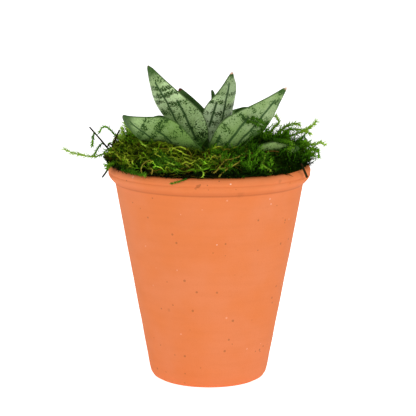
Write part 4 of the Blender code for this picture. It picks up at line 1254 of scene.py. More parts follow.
@built_once
def wiry_moss(name):
    """Thin wiry strands that lie over a sheet in loose wavy bundles, and stop short of the leaves."""
    tree, w, source, sink = geometry_group(name, {
        "Leaves": "NodeSocketObject", "Strands per Area": 150000.0, "Shortest": 0.010, "Longest": 0.024,
        "Lift": 0.0035, "Wave": 0.004, "Thickness": 0.00042, "Turn": 0.6, "Side": NOWHERE, "Curl": 75.0,
        "Points": 16, "Leaflet Spacing": 0.001, "Leaflet Length": 0.0013, "Leaflet Width": 0.0003, "Seed": 1,
        "Material": "NodeSocketMaterial"})
    sheet, seed = source["Geometry"], source["Seed"]
    scatter = w.add("GeometryNodeDistributePointsOnFaces", {
        "Mesh": sheet, "Density": source["Strands per Area"], "Seed": seed})
    position = w.add("GeometryNodeInputPosition").outputs[0]
    marked = scatter.outputs["Points"]
    for label, step, low, high in (("tone", 1, 0.0, 1.0), ("rise", 2, 0.15, 1.0), ("girth", 3, 0.6, 1.3)):
        marked = w.store(marked, label, w.chance(seed, step, low, high))
    along = w.vector("CROSS_PRODUCT", level(w, position), (0.0, 0.0, 1.0))
    askew = w.add("FunctionNodeRandomValue", {0: (-1, -1, 0), 1: (1, 1, 0), "Seed": w.plus(seed, 4.0)},
                  data_type="FLOAT_VECTOR").outputs[0]
    heading = w.vector("ADD", along, w.scaled(askew, source["Turn"]))
    heading = w.vector("ADD", heading, w.scaled(drift(w, position, 70.0), 1.5))
    heading = level(w, heading)
    line = w.add("GeometryNodeCurvePrimitiveLine", {"Start": (-0.5, 0, 0), "End": (0.5, 0, 0)})
    laid = w.add("GeometryNodeInstanceOnPoints", {
        "Points": marked, "Selection": own_side(w, position, source["Side"]),
        "Instance": w.add("GeometryNodeResampleCurve", {"Curve": line, "Count": source["Points"]}),
        "Rotation": w.add("FunctionNodeAlignRotationToVector", {"Vector": heading}, axis="X"),
        "Scale": w.chance(seed, 5, source["Shortest"], source["Longest"])})
    shifted = w.vector("ADD", position, w.scaled((1.0, 2.0, 3.0), w.read("tone")))
    waver = w.vector("MULTIPLY", drift(w, shifted, source["Curl"], 2.0), (1.0, 1.0, 0.0))
    waved = w.add("GeometryNodeSetPosition", {
        "Geometry": w.solid(laid), "Offset": w.scaled(waver, w.times(source["Wave"], 4.0))})
    nearest = w.add("GeometryNodeProximity", {"Geometry": sheet, "Sample Position": position},
                    target_element="FACES")
    foot = nearest.outputs["Position"]
    normal = w.add("GeometryNodeSampleNearestSurface", {
        "Mesh": sheet, "Value": w.add("GeometryNodeInputNormal").outputs[0], "Sample Position": position},
        data_type="FLOAT_VECTOR").outputs[0]
    factor = w.add("GeometryNodeSplineParameter").outputs["Factor"]
    arch = w.math("POWER", w.math("MAXIMUM", w.math("SINE", w.times(factor, pi)), 0.0), 0.7)
    shifted = w.vector("ADD", position, w.scaled((3.0, 1.0, 2.0), w.read("tone")))
    ripple = w.ramp(w.noise(shifted, 190.0, 1.0), 0.3, 0.7, 0.55, 1.3)
    lift = w.times(w.times(arch, w.read("rise")), source["Lift"])
    lift = w.minus(w.times(lift, ripple), 0.5 * MM)
    ahead, room, beside = w.clearance(source["Leaves"], foot, normal, 20 * MM, 0.8 * MM)
    lift = w.mixed(ahead, lift, w.math("MINIMUM", lift, room))
    lift = w.math("MINIMUM", lift, w.minus(beside, 0.7 * MM))
    settled = w.add("GeometryNodeSetPosition", {
        "Geometry": waved, "Position": w.vector("ADD", foot, w.scaled(normal, lift))})
    curves = w.store(settled, "reach", w.times(arch, w.read("rise")))
    thin = w.times(w.plus(w.times(arch, 0.6), 0.4), source["Thickness"])
    strands = w.tube(curves, 3, w.times(thin, w.read("girth")))
    leaflets = leaflets_along(w, curves, source, w.chance(seed, 6, 0.5, 1.1), w.chance(seed, 7, 0.6, 1.2))
    w.feed(sink, "Geometry", w.coated(source, strands, leaflets))
    return tree


def leaflets_along(w, curves, source, tilt, size, tip=0.0):
    """Small leaflets in a spiral along curves, as instances."""
    points = w.add("GeometryNodeCurveToPoints", {"Curve": curves, "Length": source["Leaflet Spacing"]},
                   mode="LENGTH")
    turned = w.add("FunctionNodeRotateRotation", {
        "Rotation": w.out(points, "Rotation"), "Rotate By": spiral(w, tilt)}, rotation_space="LOCAL")
    return w.add("GeometryNodeInstanceOnPoints", {
        "Points": w.out(points, "Points"), "Instance": w.leaflet(source, tip), "Rotation": turned,
        "Scale": size})


@built_once
def leafy_strand(name):
    """A strand with a stem along each curve and leaflets in a spiral round it."""
    tree, w, source, sink = geometry_group(name, {
        "Leaflet Spacing": 0.0008, "Leaflet Length": 0.0022, "Leaflet Width": 0.0005, "Seed": 1,
        "Material": "NodeSocketMaterial"})
    marked = w.store(source["Geometry"], "reach", w.add("GeometryNodeSplineParameter").outputs["Factor"])
    stem = w.tube(marked, 6, w.read("radius"))
    tilt, size = w.chance(source["Seed"], 0, 0.55, 1.15), w.chance(source["Seed"], 2, 0.55, 1.2)
    leaflets = leaflets_along(w, marked, source, tilt, size, w.times(source["Leaflet Width"], 0.4))
    w.feed(sink, "Geometry", w.coated(source, stem, leaflets))
    return tree


# Strands with a route of their own

def smooth_route(route, steps=6):
    """Points of a smooth curve through a route."""
    points = [Vector(point) for point in route]
    points = [points[0] * 2 - points[1]] + points + [points[-1] * 2 - points[-2]]
    made = []
    for a, b, c, d in zip(points, points[1:], points[2:], points[3:]):
        for step in range(steps):
            t = step / steps
            made.append(0.5 * ((2 * b) + (c - a) * t + (2 * a - 5 * b + 4 * c - d) * t * t
                               + (3 * b - a - 3 * c + d) * t**3))
    made.append(points[-2])
    return made


def route_curves(name, routes, thick, thin):
    """Curves through these routes, in millimetres, that taper from foot to tip."""
    curve = bpy.data.curves.new(name, "CURVE")
    curve.dimensions = "3D"
    for route in routes:
        points = smooth_route(route)
        spline = curve.splines.new("POLY")
        spline.points.add(len(points) - 1)
        for i, (place, target) in enumerate(zip(points, spline.points)):
            target.co = (*(Vector(place) * MM), 1)
            target.radius = mix(thick, thin, i / (len(points) - 1)) * MM
    return link(bpy.data.objects.new(name, curve))


# Routes in millimetres, with the finish, the thickness at foot and tip and the leaflets (spacing, length
# and width) of each.
STRAYS = [
    dict(name="long_fuzzy_strand", slot="moss_olive", finish="lime", thick=0.42, thin=0.25,
         leaflet=(0.20, 2.9, 0.40),
         routes=[[(-52, 0, 141.0), (-61.8, -3.0, 140.5), (-64.8, -5.0, 138.1), (-70.7, -6.0, 136.9),
                  (-78.8, -5.0, 138.1), (-84.0, -5.0, 139.5), (-87.5, -5.0, 141.3)]]),
    dict(name="bare_twigs", slot="moss_olive", finish="twig", thick=0.72, thin=0.50, leaflet=None,
         routes=[[(-52, -3, 132.8), (-59.4, -3.0, 139.3), (-65.4, -2.0, 146.2), (-72.6, 0.0, 154.1)],
                 [(-53, -9, 134.5), (-57.7, -8.0, 143.2), (-56.4, -8.0, 148.5), (-54.1, -7.0, 153.4)],
                 [(-50, -11, 136.8), (-60.7, -13.0, 137.5), (-63.8, -14.0, 138.0)],
                 [(-52, -15.0, 137.0), (-59.1, -20.0, 134.8), (-61.2, -21.0, 130.5), (-63.9, -20.0, 126.6)],
                 [(-54, -6.0, 139.0), (-59.5, -5.0, 144.5), (-61.5, -4.0, 143.0)]]),
    dict(name="dark_stick", slot="moss_green", finish="twig", thick=0.55, thin=0.75, leaflet=None,
         routes=[[(54.2, -29.5, 137.0), (55.2, -30.2, 134.8), (56.6, -29.2, 131.5), (57.9, -27.5, 128.4)]]),
    dict(name="hanging_leafy_strands", slot="moss_olive", finish="green", thick=0.44, thin=0.50,
         leaflet=(0.18, 2.4, 0.45),
         routes=[[(-68.6, -1.2, 149.8), (-69.6, -0.9, 150.4), (-70.4, -1.0, 148.3), (-71.0, -1.0, 143.0)],
                 [(-64.0, -2.0, 144.9), (-65.6, -1.8, 143.9), (-67.9, -3.0, 141.0), (-69.8, -4.0, 137.4)]]),
    dict(name="arching_strand", slot="moss_olive", finish="green", thick=0.50, thin=0.42,
         leaflet=(0.18, 2.2, 0.45),
         routes=[[(-50, 2, 142.0), (-57.2, 2.0, 148.9), (-59.4, 2.0, 151.5), (-62.0, 2.0, 153.7),
                  (-63.8, 2.0, 154.2), (-65.6, 2.0, 153.0), (-66.7, 2.0, 150.6)]]),
    dict(name="feathery_wisps", slot="moss_olive", finish="wisp", thick=0.3, thin=0.15,
         leaflet=(0.10, 3.4, 0.45),
         routes=[[(-44, 2.0, 141.0), (-48.5, 2.0, 149.3), (-50.9, 2.0, 156.2)],
                 [(-43, 0.0, 142.0), (-46.5, 0.0, 150.0), (-48.4, 0.0, 156.0)],
                 [(-47, 1.0, 140.0), (-51.0, 1.0, 147.0), (-52.8, 1.0, 152.5)],
                 [(-42, -4.0, 144.0), (-45.0, -4.0, 149.0), (-47.5, -4.0, 153.0)],
                 [(-48, -6.0, 141.0), (-51.5, -5.0, 146.0), (-54.0, -5.0, 149.5)]]),
    dict(name="fine_loops", slot="moss_olive", finish="green", thick=0.3, thin=0.2, leaflet=(0.3, 0.9, 0.3),
         routes=[[(-55, -4, 141.0), (-57.5, -4, 144.8), (-59.6, -4, 145.4), (-61.4, -4, 144.4)],
                 [(-53, -10, 138.0), (-56.8, -10, 142.5), (-60.2, -10, 142.0), (-61.0, -10, 139.8)]]),
    dict(name="rim_sprigs", slot="moss_olive", finish="green", thick=0.35, thin=0.25,
         leaflet=(0.16, 2.4, 0.6),
         routes=[[(-50.0, -24.0, 137.2), (-57.0, -27.0, 135.8), (-61.8, -27.0, 134.8)],
                 [(-53.5, -22.0, 137.0), (-58.7, -24.0, 134.3), (-61.0, -25.0, 132.6)]]),
    dict(name="leafy_sprigs", slot="moss_green", finish="lime", thick=0.45, thin=0.38,
         leaflet=(0.14, 2.9, 0.48),
         routes=[[(36.0, 10.0, 148.0), (40.0, 12.0, 153.4), (42.2, 12.0, 155.3), (42.3, 12.0, 157.2),
                  (40.5, 12.0, 159.8)],
                 [(45.0, 5.0, 146.0), (51.0, 5.0, 149.2), (57.3, 5.0, 151.4), (61.1, 5.0, 153.9),
                  (65.0, 5.0, 157.4)],
                 [(40, 13.0, 147.0), (46.5, 15.0, 152.6), (51.9, 15.0, 154.8), (55.6, 15.0, 154.0)],
                 [(43, 9.0, 148.0), (49.5, 10.0, 151.6), (57.0, 10.0, 151.3), (61.5, 10.0, 149.3)],
                 [(52, 0.0, 142.9), (58.4, 0.0, 145.4), (61.3, 0.0, 143.9), (64.5, 0.0, 144.4),
                  (67.7, 0.0, 145.3), (69.9, 0.0, 143.9)]]),
    dict(name="dark_leafy_sprigs", slot="moss_green", finish="green", thick=0.36, thin=0.28,
         leaflet=(0.15, 2.8, 0.42),
         routes=[[(54, -6.0, 137.4), (58.7, -7.0, 136.8), (62.0, -7.0, 139.4), (65.3, -7.0, 140.6),
                  (66.1, -7.0, 137.0)],
                 [(50, -2.0, 144.0), (55.0, -3.0, 146.5), (59.0, -3.0, 144.0), (62.5, -3.0, 141.5),
                  (65.8, -3.0, 141.0)],
                 [(51, -4.0, 141.0), (56.0, -5.0, 143.0), (60.0, -6.0, 141.0), (63.5, -6.0, 137.5)],
                 [(53, 2.0, 146.0), (57.5, 2.0, 149.0), (58.0, 2.0, 145.8), (60.0, 2.0, 144.0)]]),
]

# Loose strands on top of the moss, where the photo shows them: points of the picture, how far they stand
# off what they lie on at their middle in millimetres, and the finish, thickness and leaflets of each group.
LOOSE_STRANDS = [
    dict(name="pale_loops", slot="moss_olive", finish="straw", thick=0.42, lift=8.5,
         leaflet=(0.5, 0.9, 0.3), routes=[
        [(157, 160), (149.6, 160.5), (144, 163.3), (141.2, 168.9), (142.2, 173.6)],
        [(148.7, 167), (152.4, 169.8), (152, 173.6)],
        [(159, 140.6), (162.7, 140.9), (169.2, 142.3), (172.5, 145.6), (171.1, 149.3), (168, 151.5)],
        [(190, 149.3), (199.3, 148.8), (206.8, 149.3), (211, 152.1), (210, 154)],
        [(186, 153), (195, 151.5), (204, 152), (209, 156)],
        [(219.9, 154.4), (220.8, 157.7), (222, 160.5)],
        [(183.3, 163.3), (187, 165.5), (190.7, 168.9)]]),
    dict(name="lime_strands", slot="moss_olive", finish="lime", thick=0.42, lift=8.0,
         leaflet=(0.4, 1.0, 0.35), routes=[
        [(189.8, 161), (195.6, 163.8), (200.3, 168), (203.5, 173.6), (202.6, 177.3)],
        [(134.7, 133.4), (139.4, 140), (143.1, 144.6), (149.6, 147.4), (157.1, 150.2)],
        [(160, 157), (166, 161.5), (174, 165), (182, 168.5)]]),
    dict(name="brown_strands", slot="moss_olive", finish="straw", thick=0.45, lift=8.5,
         leaflet=(0.6, 0.8, 0.3), routes=[
        [(219, 178.3), (221.7, 173.6), (227.4, 168.9), (233.9, 165.2), (238.6, 162.4), (240.9, 160)],
        [(209.6, 162.4), (218, 161.9), (224.6, 161), (232, 159.1), (239.5, 156.3), (247.9, 150.7)],
        [(213, 171), (222, 168.5), (230, 167.5)]]),
    dict(name="rust_strands", slot="moss_green", finish="rust", thick=0.40, lift=6.0,
         leaflet=(0.9, 0.8, 0.3), routes=[
        [(241, 156), (247, 150.5), (254, 147), (259, 141)],
        [(240, 160), (249, 154), (256, 152.5)],
        [(266, 152), (273, 151), (279, 152)],
        [(262, 149), (270, 149.5), (277, 155)]]),
    dict(name="green_patch", slot="moss_olive", finish="leafy", thick=0.35, lift=7.5,
         leaflet=(0.16, 2.6, 0.45), routes=[
        [(152, 152), (159, 157.5), (167, 162.5), (177, 168)],
        [(158, 151), (165, 157), (172, 163)], [(149, 157), (158, 163), (168, 169.5)],
        [(166, 156.5), (174, 162.5), (184, 170)], [(160, 165), (170, 168), (180, 173)]]),
    dict(name="edge_leaflets", slot="moss_olive", finish="leafy", thick=0.3, lift=4.0,
         leaflet=(0.16, 2.3, 0.45), routes=[
        [(118, 165), (124, 168), (130, 170.5), (137, 172)], [(121, 170), (126, 172.5), (129, 174.5)],
        [(124, 166), (131, 169), (134, 172)]]),
    dict(name="rim_drape", slot="moss_olive", finish="leafy", on="pot", thick=0.3, lift=1.2,
         leaflet=(0.3, 1.4, 0.5),
         routes=[[(187, 178.6), (182, 180.5), (177, 182), (171.5, 183.7)]]),
    dict(name="green_stems", slot="moss_green", finish="lime", thick=0.42, lift=7.0,
         leaflet=(0.3, 1.1, 0.4), routes=[
        [(272, 127), (271.9, 131), (271.4, 136), (270, 139.6)],
        [(285.5, 128), (287, 134), (288.6, 139.5)]]),
    dict(name="leafy_column", slot="moss_green", finish="fresh", on="leaf_low_right", thick=0.34, lift=3.0,
         leaflet=(0.16, 2.2, 0.4), routes=[
             [(291, 137), (290.5, 142), (289.5, 146), (288, 151)],
             [(292.5, 139), (291.5, 144), (290.5, 149)]]),
    dict(name="low_leaf_tufts", slot="moss_green", finish="deep", on="leaf_low_right", thick=0.3, lift=2.6,
         leaflet=(0.28, 1.9, 0.5), routes=[
             [(296, 138), (299, 142), (301, 146)], [(294, 141), (297, 146), (300, 149)],
             [(279, 150), (284, 149), (288, 147)]]),
    dict(name="leaf_tufts", slot="moss_green", finish="deep", on="leaf_right", thick=0.3, lift=2.2,
         leaflet=(0.28, 1.9, 0.6), routes=[
             [(238, 148), (245, 142), (252, 136)], [(243, 147), (251, 139), (258, 131)],
             [(249, 143), (256, 136), (263, 127)], [(255, 138), (261, 132), (266, 124.5)],
             [(259, 135), (263, 130), (267.5, 122)], [(246, 145), (254, 138), (261, 129.5)]]),
]


def laid_route(picture_points, surfaces, lift, end_lift):
    """A route in millimetres through points of the picture, over the first surface that each one meets."""
    route = []
    for i, (x, y) in enumerate(picture_points):
        share = i / (len(picture_points) - 1)
        ray = picture_ray(x, y)
        hits = [surface.ray_cast(CAMERA_PLACE, ray) for surface in surfaces]
        hits = [hit for hit in hits if hit[0] is not None]
        hit = hits[0] if hits else surfaces[0].find_nearest(CAMERA_PLACE + ray * FRONT_EDGE)
        rise = mix(end_lift, lift, sin(pi * share)) * MM
        while rise > 0.5 * MM and (hit[0] - ray * rise).xy.length > LOOSE_REACH:
            rise -= 0.25 * MM
        route.append(tuple((hit[0] - ray * rise) / MM))
    return route


# Leaflets so far apart and so small that none shows on a bare strand.
NO_LEAFLETS = (1000.0, 0.0001, 0.00001)


def build_strand(entry, routes, skins):
    curves = route_curves(entry["name"], routes, entry["thick"], entry.get("thin", entry["thick"] * 0.7))
    spacing, length, width = entry["leaflet"] or NO_LEAFLETS
    piece = grown(curves, leafy_strand(), {
        "Leaflet Spacing": spacing * MM, "Leaflet Length": length * MM, "Leaflet Width": width * MM,
        "Seed": 4, "Material": skins[entry["finish"]]}, entry["name"])
    if entry["leaflet"]:
        piece.data.shade_flat()
    else:
        piece.data.shade_smooth()
    hand_in(piece, entry["slot"])


# Moss that grows

# Each moss's skin: its colours at the roots, in the middle and at the tips, the colour of its browned
# shoots and their share, and whether it is lush. The near-black colours at the roots are partly
# painted shade of the depth among the shoots.
MOSS_SKINS = {
    "feathery_green": ((0.0035, 0.013, 0.0004), (0.023, 0.085, 0.0018), (0.118, 0.36, 0.012),
                       (0.05, 0.04, 0.006), 0.07),
    "fresh_green": ((0.006, 0.022, 0.0006), (0.044, 0.15, 0.003), (0.21, 0.50, 0.022),
                    (0.07, 0.05, 0.006), 0.06),
    "wiry_olive": ((0.0018, 0.0045, 0.0001), (0.034, 0.064, 0.0014), (0.34, 0.49, 0.018),
                   (0.07, 0.042, 0.003), 0.18, True),
    "wiry_straw": ((0.006, 0.011, 0.0005), (0.11, 0.17, 0.005), (0.60, 0.74, 0.055),
                   (0.15, 0.095, 0.008), 0.16, True),
    "olive_fuzz": ((0.0018, 0.006, 0.0002), (0.030, 0.075, 0.0015), (0.24, 0.46, 0.014),
                   (0.07, 0.045, 0.003), 0.10, True),
}

# The felt under each moss, whose near-black colours are partly painted shade, and the skins of single
# strands: foot, tip and streaks.
FELTS = {
    "moss_olive": ("olive_felt", (0.006, 0.008, 0.0005), (0.030, 0.032, 0.002)),
    "moss_green": ("green_felt", (0.003, 0.008, 0.0004), (0.012, 0.030, 0.001)),
}
STRAND_SKINS = {
    "lime": ("lime_strand", (0.12, 0.29, 0.010), (0.52, 0.77, 0.075), (0.17, 0.36, 0.016)),
    "fresh": ("fresh_strand", (0.060, 0.20, 0.005), (0.27, 0.60, 0.022), (0.04, 0.13, 0.003)),
    "wisp": ("wisp_strand", (0.24, 0.42, 0.025), (0.55, 0.78, 0.12), (0.26, 0.46, 0.03)),
    "green": ("green_strand", (0.042, 0.14, 0.003), (0.22, 0.50, 0.016), (0.05, 0.15, 0.005)),
    "twig": ("dark_twig", (0.012, 0.012, 0.002), (0.012, 0.020, 0.003), (0.035, 0.018, 0.003)),
    "straw": ("straw_strand", (0.20, 0.19, 0.016), (0.38, 0.36, 0.045), (0.14, 0.09, 0.01)),
    "rust": ("rust_strand", (0.10, 0.055, 0.008), (0.17, 0.10, 0.014), (0.06, 0.025, 0.005)),
    "leafy": ("leafy_strand", (0.05, 0.17, 0.006), (0.16, 0.40, 0.018), (0.03, 0.10, 0.003)),
    "deep": ("deep_strand", (0.018, 0.065, 0.003), (0.075, 0.21, 0.012), (0.012, 0.038, 0.001)),
}

# Feathery shoots: piece, moss, skin, shares of the set density and length, and seed.
SHOOTS = (
    ("green_shoots", "moss_green", "feathery_green", 1.0, 1.0, 3),
    ("green_top_shoots", "moss_green", "fresh_green", 0.13, 1.5, 23),
    ("olive_shoots", "moss_olive", "olive_fuzz", 0.42, 0.95, 8),
)

# Wiry strands: piece, moss, skin, shares of the set density and length, lift and wave in millimetres,
# curl, points of a strand, leaflet spacing in millimetres, and seed.
WIRES = (
    ("olive_strands", "moss_olive", "wiry_olive", 0.60, 1.0, 4.4, 4.0, 75.0, 15, 1.0, 5),
    ("olive_top_strands", "moss_olive", "wiry_straw", 0.27, 1.4, 6.6, 6.5, 95.0, 20, 0.85, 15),
    ("green_strands", "moss_green", "feathery_green", 0.08, 1.0, 4.0, 4.0, 75.0, 15, 0.9, 6),
)
PER_SQUARE_METRE = 1e6


def build_beds(settings, leaf_solids):
    """Lays both moss beds and returns the sheet over them that shoots grow from."""
    leaves = surface_tree(*leaf_solids)
    sheets = []
    for name, felt in FELTS.items():
        bed, sheet = moss_meshes(name, settings.rows, BED_COLUMNS, leaves, moss_ground(*felt))
        hand_in(bed, name, name)
        sheets.append(sheet)
    whole = gathered(sheets, "moss_sheet")
    for sheet in sheets:
        remove_object(sheet)
    return whole


def grow_moss(settings, sheet, blocker):
    """Grows the feathery shoots and the wiry strands, each kind on its own side of the border."""
    azimuth = radians(OLIVE_SIDE)
    olive_side = Vector((cos(azimuth), sin(azimuth), 0))
    skins = {name: moss_skin(name, *recipe) for name, recipe in MOSS_SKINS.items()}

    def moss_piece(label, tree, slot, skin, seed, values):
        field = link(bpy.data.objects.new(sheet.name + "_copy", sheet.data.copy()))
        side = olive_side if slot == "moss_olive" else -olive_side
        return grown(field, tree, {
            "Leaves": blocker, "Side": side, "Seed": seed, "Material": skins[skin], **values}, label)

    low, high = settings.shoot_length * 0.5, settings.shoot_length
    for label, slot, skin, density, share, seed in SHOOTS:
        piece = moss_piece(label, feathery_moss(), slot, skin, seed, {
            "Droop": 0.7 if slot == "moss_green" else 0.3, "Low Place": LOW_PLACE, "Low Size": SHORT_SPREAD,
            "Shoots per Area": settings.shoots * density * PER_SQUARE_METRE, "Shortest": low * share,
            "Longest": high * share})
        hand_in(piece, slot)
    for label, slot, skin, density, share, lift, wave, curl, points, spacing, seed in WIRES:
        longest = settings.strand_length * share
        piece = moss_piece(label, wiry_moss(), slot, skin, seed, {
            "Strands per Area": density * settings.strands * PER_SQUARE_METRE, "Shortest": longest * 0.4,
            "Longest": longest, "Lift": lift * MM, "Thickness": 0.30 * MM, "Wave": wave * MM, "Curl": curl,
            "Points": points, "Leaflet Spacing": spacing * MM, "Leaflet Length": 1.5 * MM,
            "Leaflet Width": 0.34 * MM})
        piece.data.shade_smooth()
        hand_in(piece, slot)


def lay_strands(sheet):
    """Builds every strand that has a route of its own."""
    surface = surface_tree(sheet)
    skins = {name: strand_skin(*recipe) for name, recipe in STRAND_SKINS.items()}
    for entry in STRAYS:
        build_strand(entry, entry["routes"], skins)
    for entry in LOOSE_STRANDS:
        under, end_lift = [surface], 3.2
        if "on" in entry:
            under, end_lift = [surface_tree(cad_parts[entry["on"]]), surface], 0.6
        routes = [laid_route(points, under, entry["lift"], end_lift) for points in entry["routes"]]
        build_strand(entry, routes, skins)


# Settings that a user may change

class PotSettings(bpy.types.PropertyGroup):
    clay: bpy.props.FloatVectorProperty(
        name="Clay", description="Colour of the fired clay", subtype="COLOR", size=3, min=0, max=1,
        default=(0.765, 0.207, 0.056))
    sides: bpy.props.IntProperty(
        name="Sides", description="Number of sides of the turned pot", default=144, min=48, max=256)


class LeafSettings(bpy.types.PropertyGroup):
    silver: bpy.props.FloatVectorProperty(
        name="Ground", description="Silvery ground colour of the blades", subtype="COLOR", size=3, min=0,
        max=1, default=(0.345, 0.465, 0.225))
    band: bpy.props.FloatVectorProperty(
        name="Band", description="Colour of the mottled cross bands", subtype="COLOR", size=3, min=0, max=1,
        default=(0.036, 0.100, 0.011))
    deepest: bpy.props.FloatVectorProperty(
        name="Deepest", description="Darkest flecks of the bands", subtype="COLOR", size=3, min=0, max=1,
        default=(0.012, 0.045, 0.003))
    rows: bpy.props.IntProperty(
        name="Rows", description="Rows of faces along each blade", default=96, min=24, max=160)
    columns: bpy.props.IntProperty(
        name="Columns", description="Columns of faces across each blade", default=40, min=12, max=80)


class MossSettings(bpy.types.PropertyGroup):
    shoots: bpy.props.FloatProperty(
        name="Green shoots", description="Feathery shoots per square millimetre", default=0.42, min=0.05,
        max=1.0)
    shoot_length: bpy.props.FloatProperty(
        name="Shoot length", description="Length of the longest feathery shoots", unit="LENGTH",
        default=0.0075, min=0.002, max=0.02)
    strands: bpy.props.FloatProperty(
        name="Wiry strands", description="Wiry strands per square millimetre", default=0.26, min=0.02,
        max=0.6)
    strand_length: bpy.props.FloatProperty(
        name="Strand length", description="Length of the longest wiry strands", unit="LENGTH",
        default=0.026, min=0.005, max=0.06)
    rows: bpy.props.IntProperty(
        name="Rows", description="Rows of faces round each bed", default=90, min=20, max=200)


class StageSettings(bpy.types.PropertyGroup):
    key: bpy.props.FloatProperty(
        name="Key light", description="Power of each front softbox", default=7.6, min=0)
    fill: bpy.props.FloatProperty(
        name="Front light", description="Power of the broad light in front", default=8.5, min=0)
    top: bpy.props.FloatProperty(name="Top light", description="Power of the light above", default=2.4, min=0)
    sky: bpy.props.FloatProperty(
        name="Surroundings", description="Brightness of the pale room", default=0.28, min=0)
    glow: bpy.props.FloatProperty(
        name="Floor glow", description="Light that the floor gives back", default=0.5, min=0)


# Operators

class PLANT_OT_pot(bpy.types.Operator):
    """Turn the clay pot with its rolled rim and drainage holes"""
    bl_idname = "plant.pot"
    bl_label = "Clay pot"

    def execute(self, context):
        build_pot(context.scene.plant_pot)
        return {"FINISHED"}


class PLANT_OT_soil(bpy.types.Operator):
    """Give the potting soil and the crown their finishes"""
    bl_idname = "plant.soil"
    bl_label = "Soil and crown"

    def execute(self, context):
        for node, material in (("soil", potting_mix()), ("crown", rhizome_skin())):
            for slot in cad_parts[node].material_slots:
                slot.material = material
        return {"FINISHED"}


class PLANT_OT_leaves(bpy.types.Operator):
    """Grow the banded leaves with rounded margins and impressed lines"""
    bl_idname = "plant.leaves"
    bl_label = "Leaves"

    def execute(self, context):
        settings = context.scene.plant_leaves
        for name in LEAVES:
            rows, columns = settings.rows, settings.columns
            if name in FAR_LEAVES:
                rows, columns = rows * 2 // 3, columns * 2 // 3
            build_leaf(name, rows, columns, settings)
        return {"FINISHED"}


class PLANT_OT_moss(bpy.types.Operator):
    """Lay both moss beds and grow their shoots, wiry strands and strays"""
    bl_idname = "plant.moss"
    bl_label = "Moss"

    def execute(self, context):
        settings = context.scene.plant_moss
        leaf_solids = [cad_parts[name] for name in LEAVES]
        blocker = gathered(leaf_solids, "leaf_blocker")
        sheet = build_beds(settings, leaf_solids)
        grow_moss(settings, sheet, blocker)
        lay_strands(sheet)
        remove_object(blocker)
        remove_object(sheet)
        return {"FINISHED"}


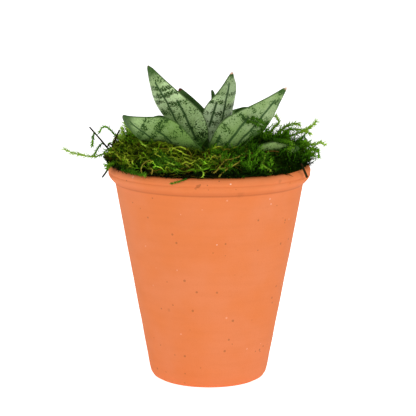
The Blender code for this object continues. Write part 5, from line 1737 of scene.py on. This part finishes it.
class PLANT_OT_stage(bpy.types.Operator):
    """Set up the pale floor, the soft lights and the camera"""
    bl_idname = "plant.stage"
    bl_label = "Stage"

    def execute(self, context):
        settings = context.scene.plant_stage
        context.scene.view_settings.view_transform = "Standard"
        corners = [(x * FLOOR_REACH, y * FLOOR_REACH, 0) for x, y in ((-1, -1), (1, -1), (1, 1), (-1, 1))]
        floor = new_object("floor", corners, [(0, 1, 2, 3)])
        material, w, shader, point = new_material("pale_floor", 0.9)
        clean = w.blend(w.ramp(w.noise(point, 3.0), 0.3, 0.7), (0.86, 0.86, 0.86), (0.9, 0.9, 0.9))
        w.feed(shader, "Base Color", clean)
        seen = w.add("ShaderNodeLightPath").outputs["Is Camera Ray"]
        shader.inputs["Emission Color"].default_value = (1, 1, 1, 1)
        w.feed(shader, "Emission Strength", w.mixed(seen, settings.glow, 0.98))
        floor.data.materials.append(material)
        world = bpy.data.worlds.new("pale_room")
        world.use_nodes = True
        context.scene.world = world
        w = Wiring(world.node_tree)
        background = world.node_tree.nodes["Background"]
        seen = w.add("ShaderNodeLightPath").outputs["Is Camera Ray"]
        w.feed(background, "Strength", w.mixed(seen, settings.sky, 1.0))
        background.inputs["Color"].default_value = (1, 1, 1, 1)
        aim = Vector((0, 0, 0.11))
        for name, place, size, power in (
                ("softbox_left", (-1.30, -0.80, 0.70), 0.9, settings.key),
                ("softbox_right", (1.32, -0.78, 0.65), 0.9, settings.key * 1.15),
                ("front_fill", (0.05, -1.6, 1.55), 1.0, settings.fill),
                ("top_light", (0.1, 0.25, 1.5), 1.0, settings.top)):
            light = bpy.data.lights.new(name, "AREA")
            light.size = size
            light.energy = power
            lamp = link(bpy.data.objects.new(name, light))
            lamp.location = place
            lamp.rotation_euler = (aim - Vector(place)).to_track_quat("-Z", "Y").to_euler()
        lens = bpy.data.cameras.new("camera")
        lens.sensor_width = SENSOR_WIDTH
        lens.lens = FOCAL_PIXELS * SENSOR_WIDTH / FRAME_PIXELS
        lens.clip_start = 0.05
        camera = link(bpy.data.objects.new("camera", lens))
        camera.matrix_world = Matrix.Translation(CAMERA_PLACE) @ camera_turn().to_4x4()
        context.scene.camera = camera
        return {"FINISHED"}


class PLANT_PT_panel(bpy.types.Panel):
    """Lists the pieces of the plant and their settings"""
    bl_label = "Potted plant"
    bl_idname = "PLANT_PT_panel"
    bl_space_type = "VIEW_3D"
    bl_region_type = "UI"
    bl_category = "Potted plant"

    def draw(self, context):
        scene = context.scene
        for operator, settings in ((PLANT_OT_pot, scene.plant_pot), (PLANT_OT_soil, None),
                                   (PLANT_OT_leaves, scene.plant_leaves), (PLANT_OT_moss, scene.plant_moss),
                                   (PLANT_OT_stage, scene.plant_stage)):
            box = self.layout.box()
            if settings:
                for name in settings.bl_rna.properties.keys():
                    if name not in ("rna_type", "name"):
                        box.prop(settings, name)
            box.operator(operator.bl_idname)


SETTINGS = {"plant_pot": PotSettings, "plant_leaves": LeafSettings, "plant_moss": MossSettings,
            "plant_stage": StageSettings}
OPERATORS = (PLANT_OT_pot, PLANT_OT_soil, PLANT_OT_leaves, PLANT_OT_moss, PLANT_OT_stage)


def register():
    for name, kind in SETTINGS.items():
        bpy.utils.register_class(kind)
        setattr(bpy.types.Scene, name, bpy.props.PointerProperty(type=kind))
    for operator in OPERATORS:
        bpy.utils.register_class(operator)
    bpy.utils.register_class(PLANT_PT_panel)


def unregister():
    bpy.utils.unregister_class(PLANT_PT_panel)
    for operator in reversed(OPERATORS):
        bpy.utils.unregister_class(operator)
    for name, kind in SETTINGS.items():
        delattr(bpy.types.Scene, name)
        bpy.utils.unregister_class(kind)


def main():
    register()
    bpy.ops.plant.pot()
    bpy.ops.plant.soil()
    bpy.ops.plant.leaves()
    bpy.ops.plant.moss()
    bpy.ops.plant.stage()


if __name__ == "__main__":
    main()
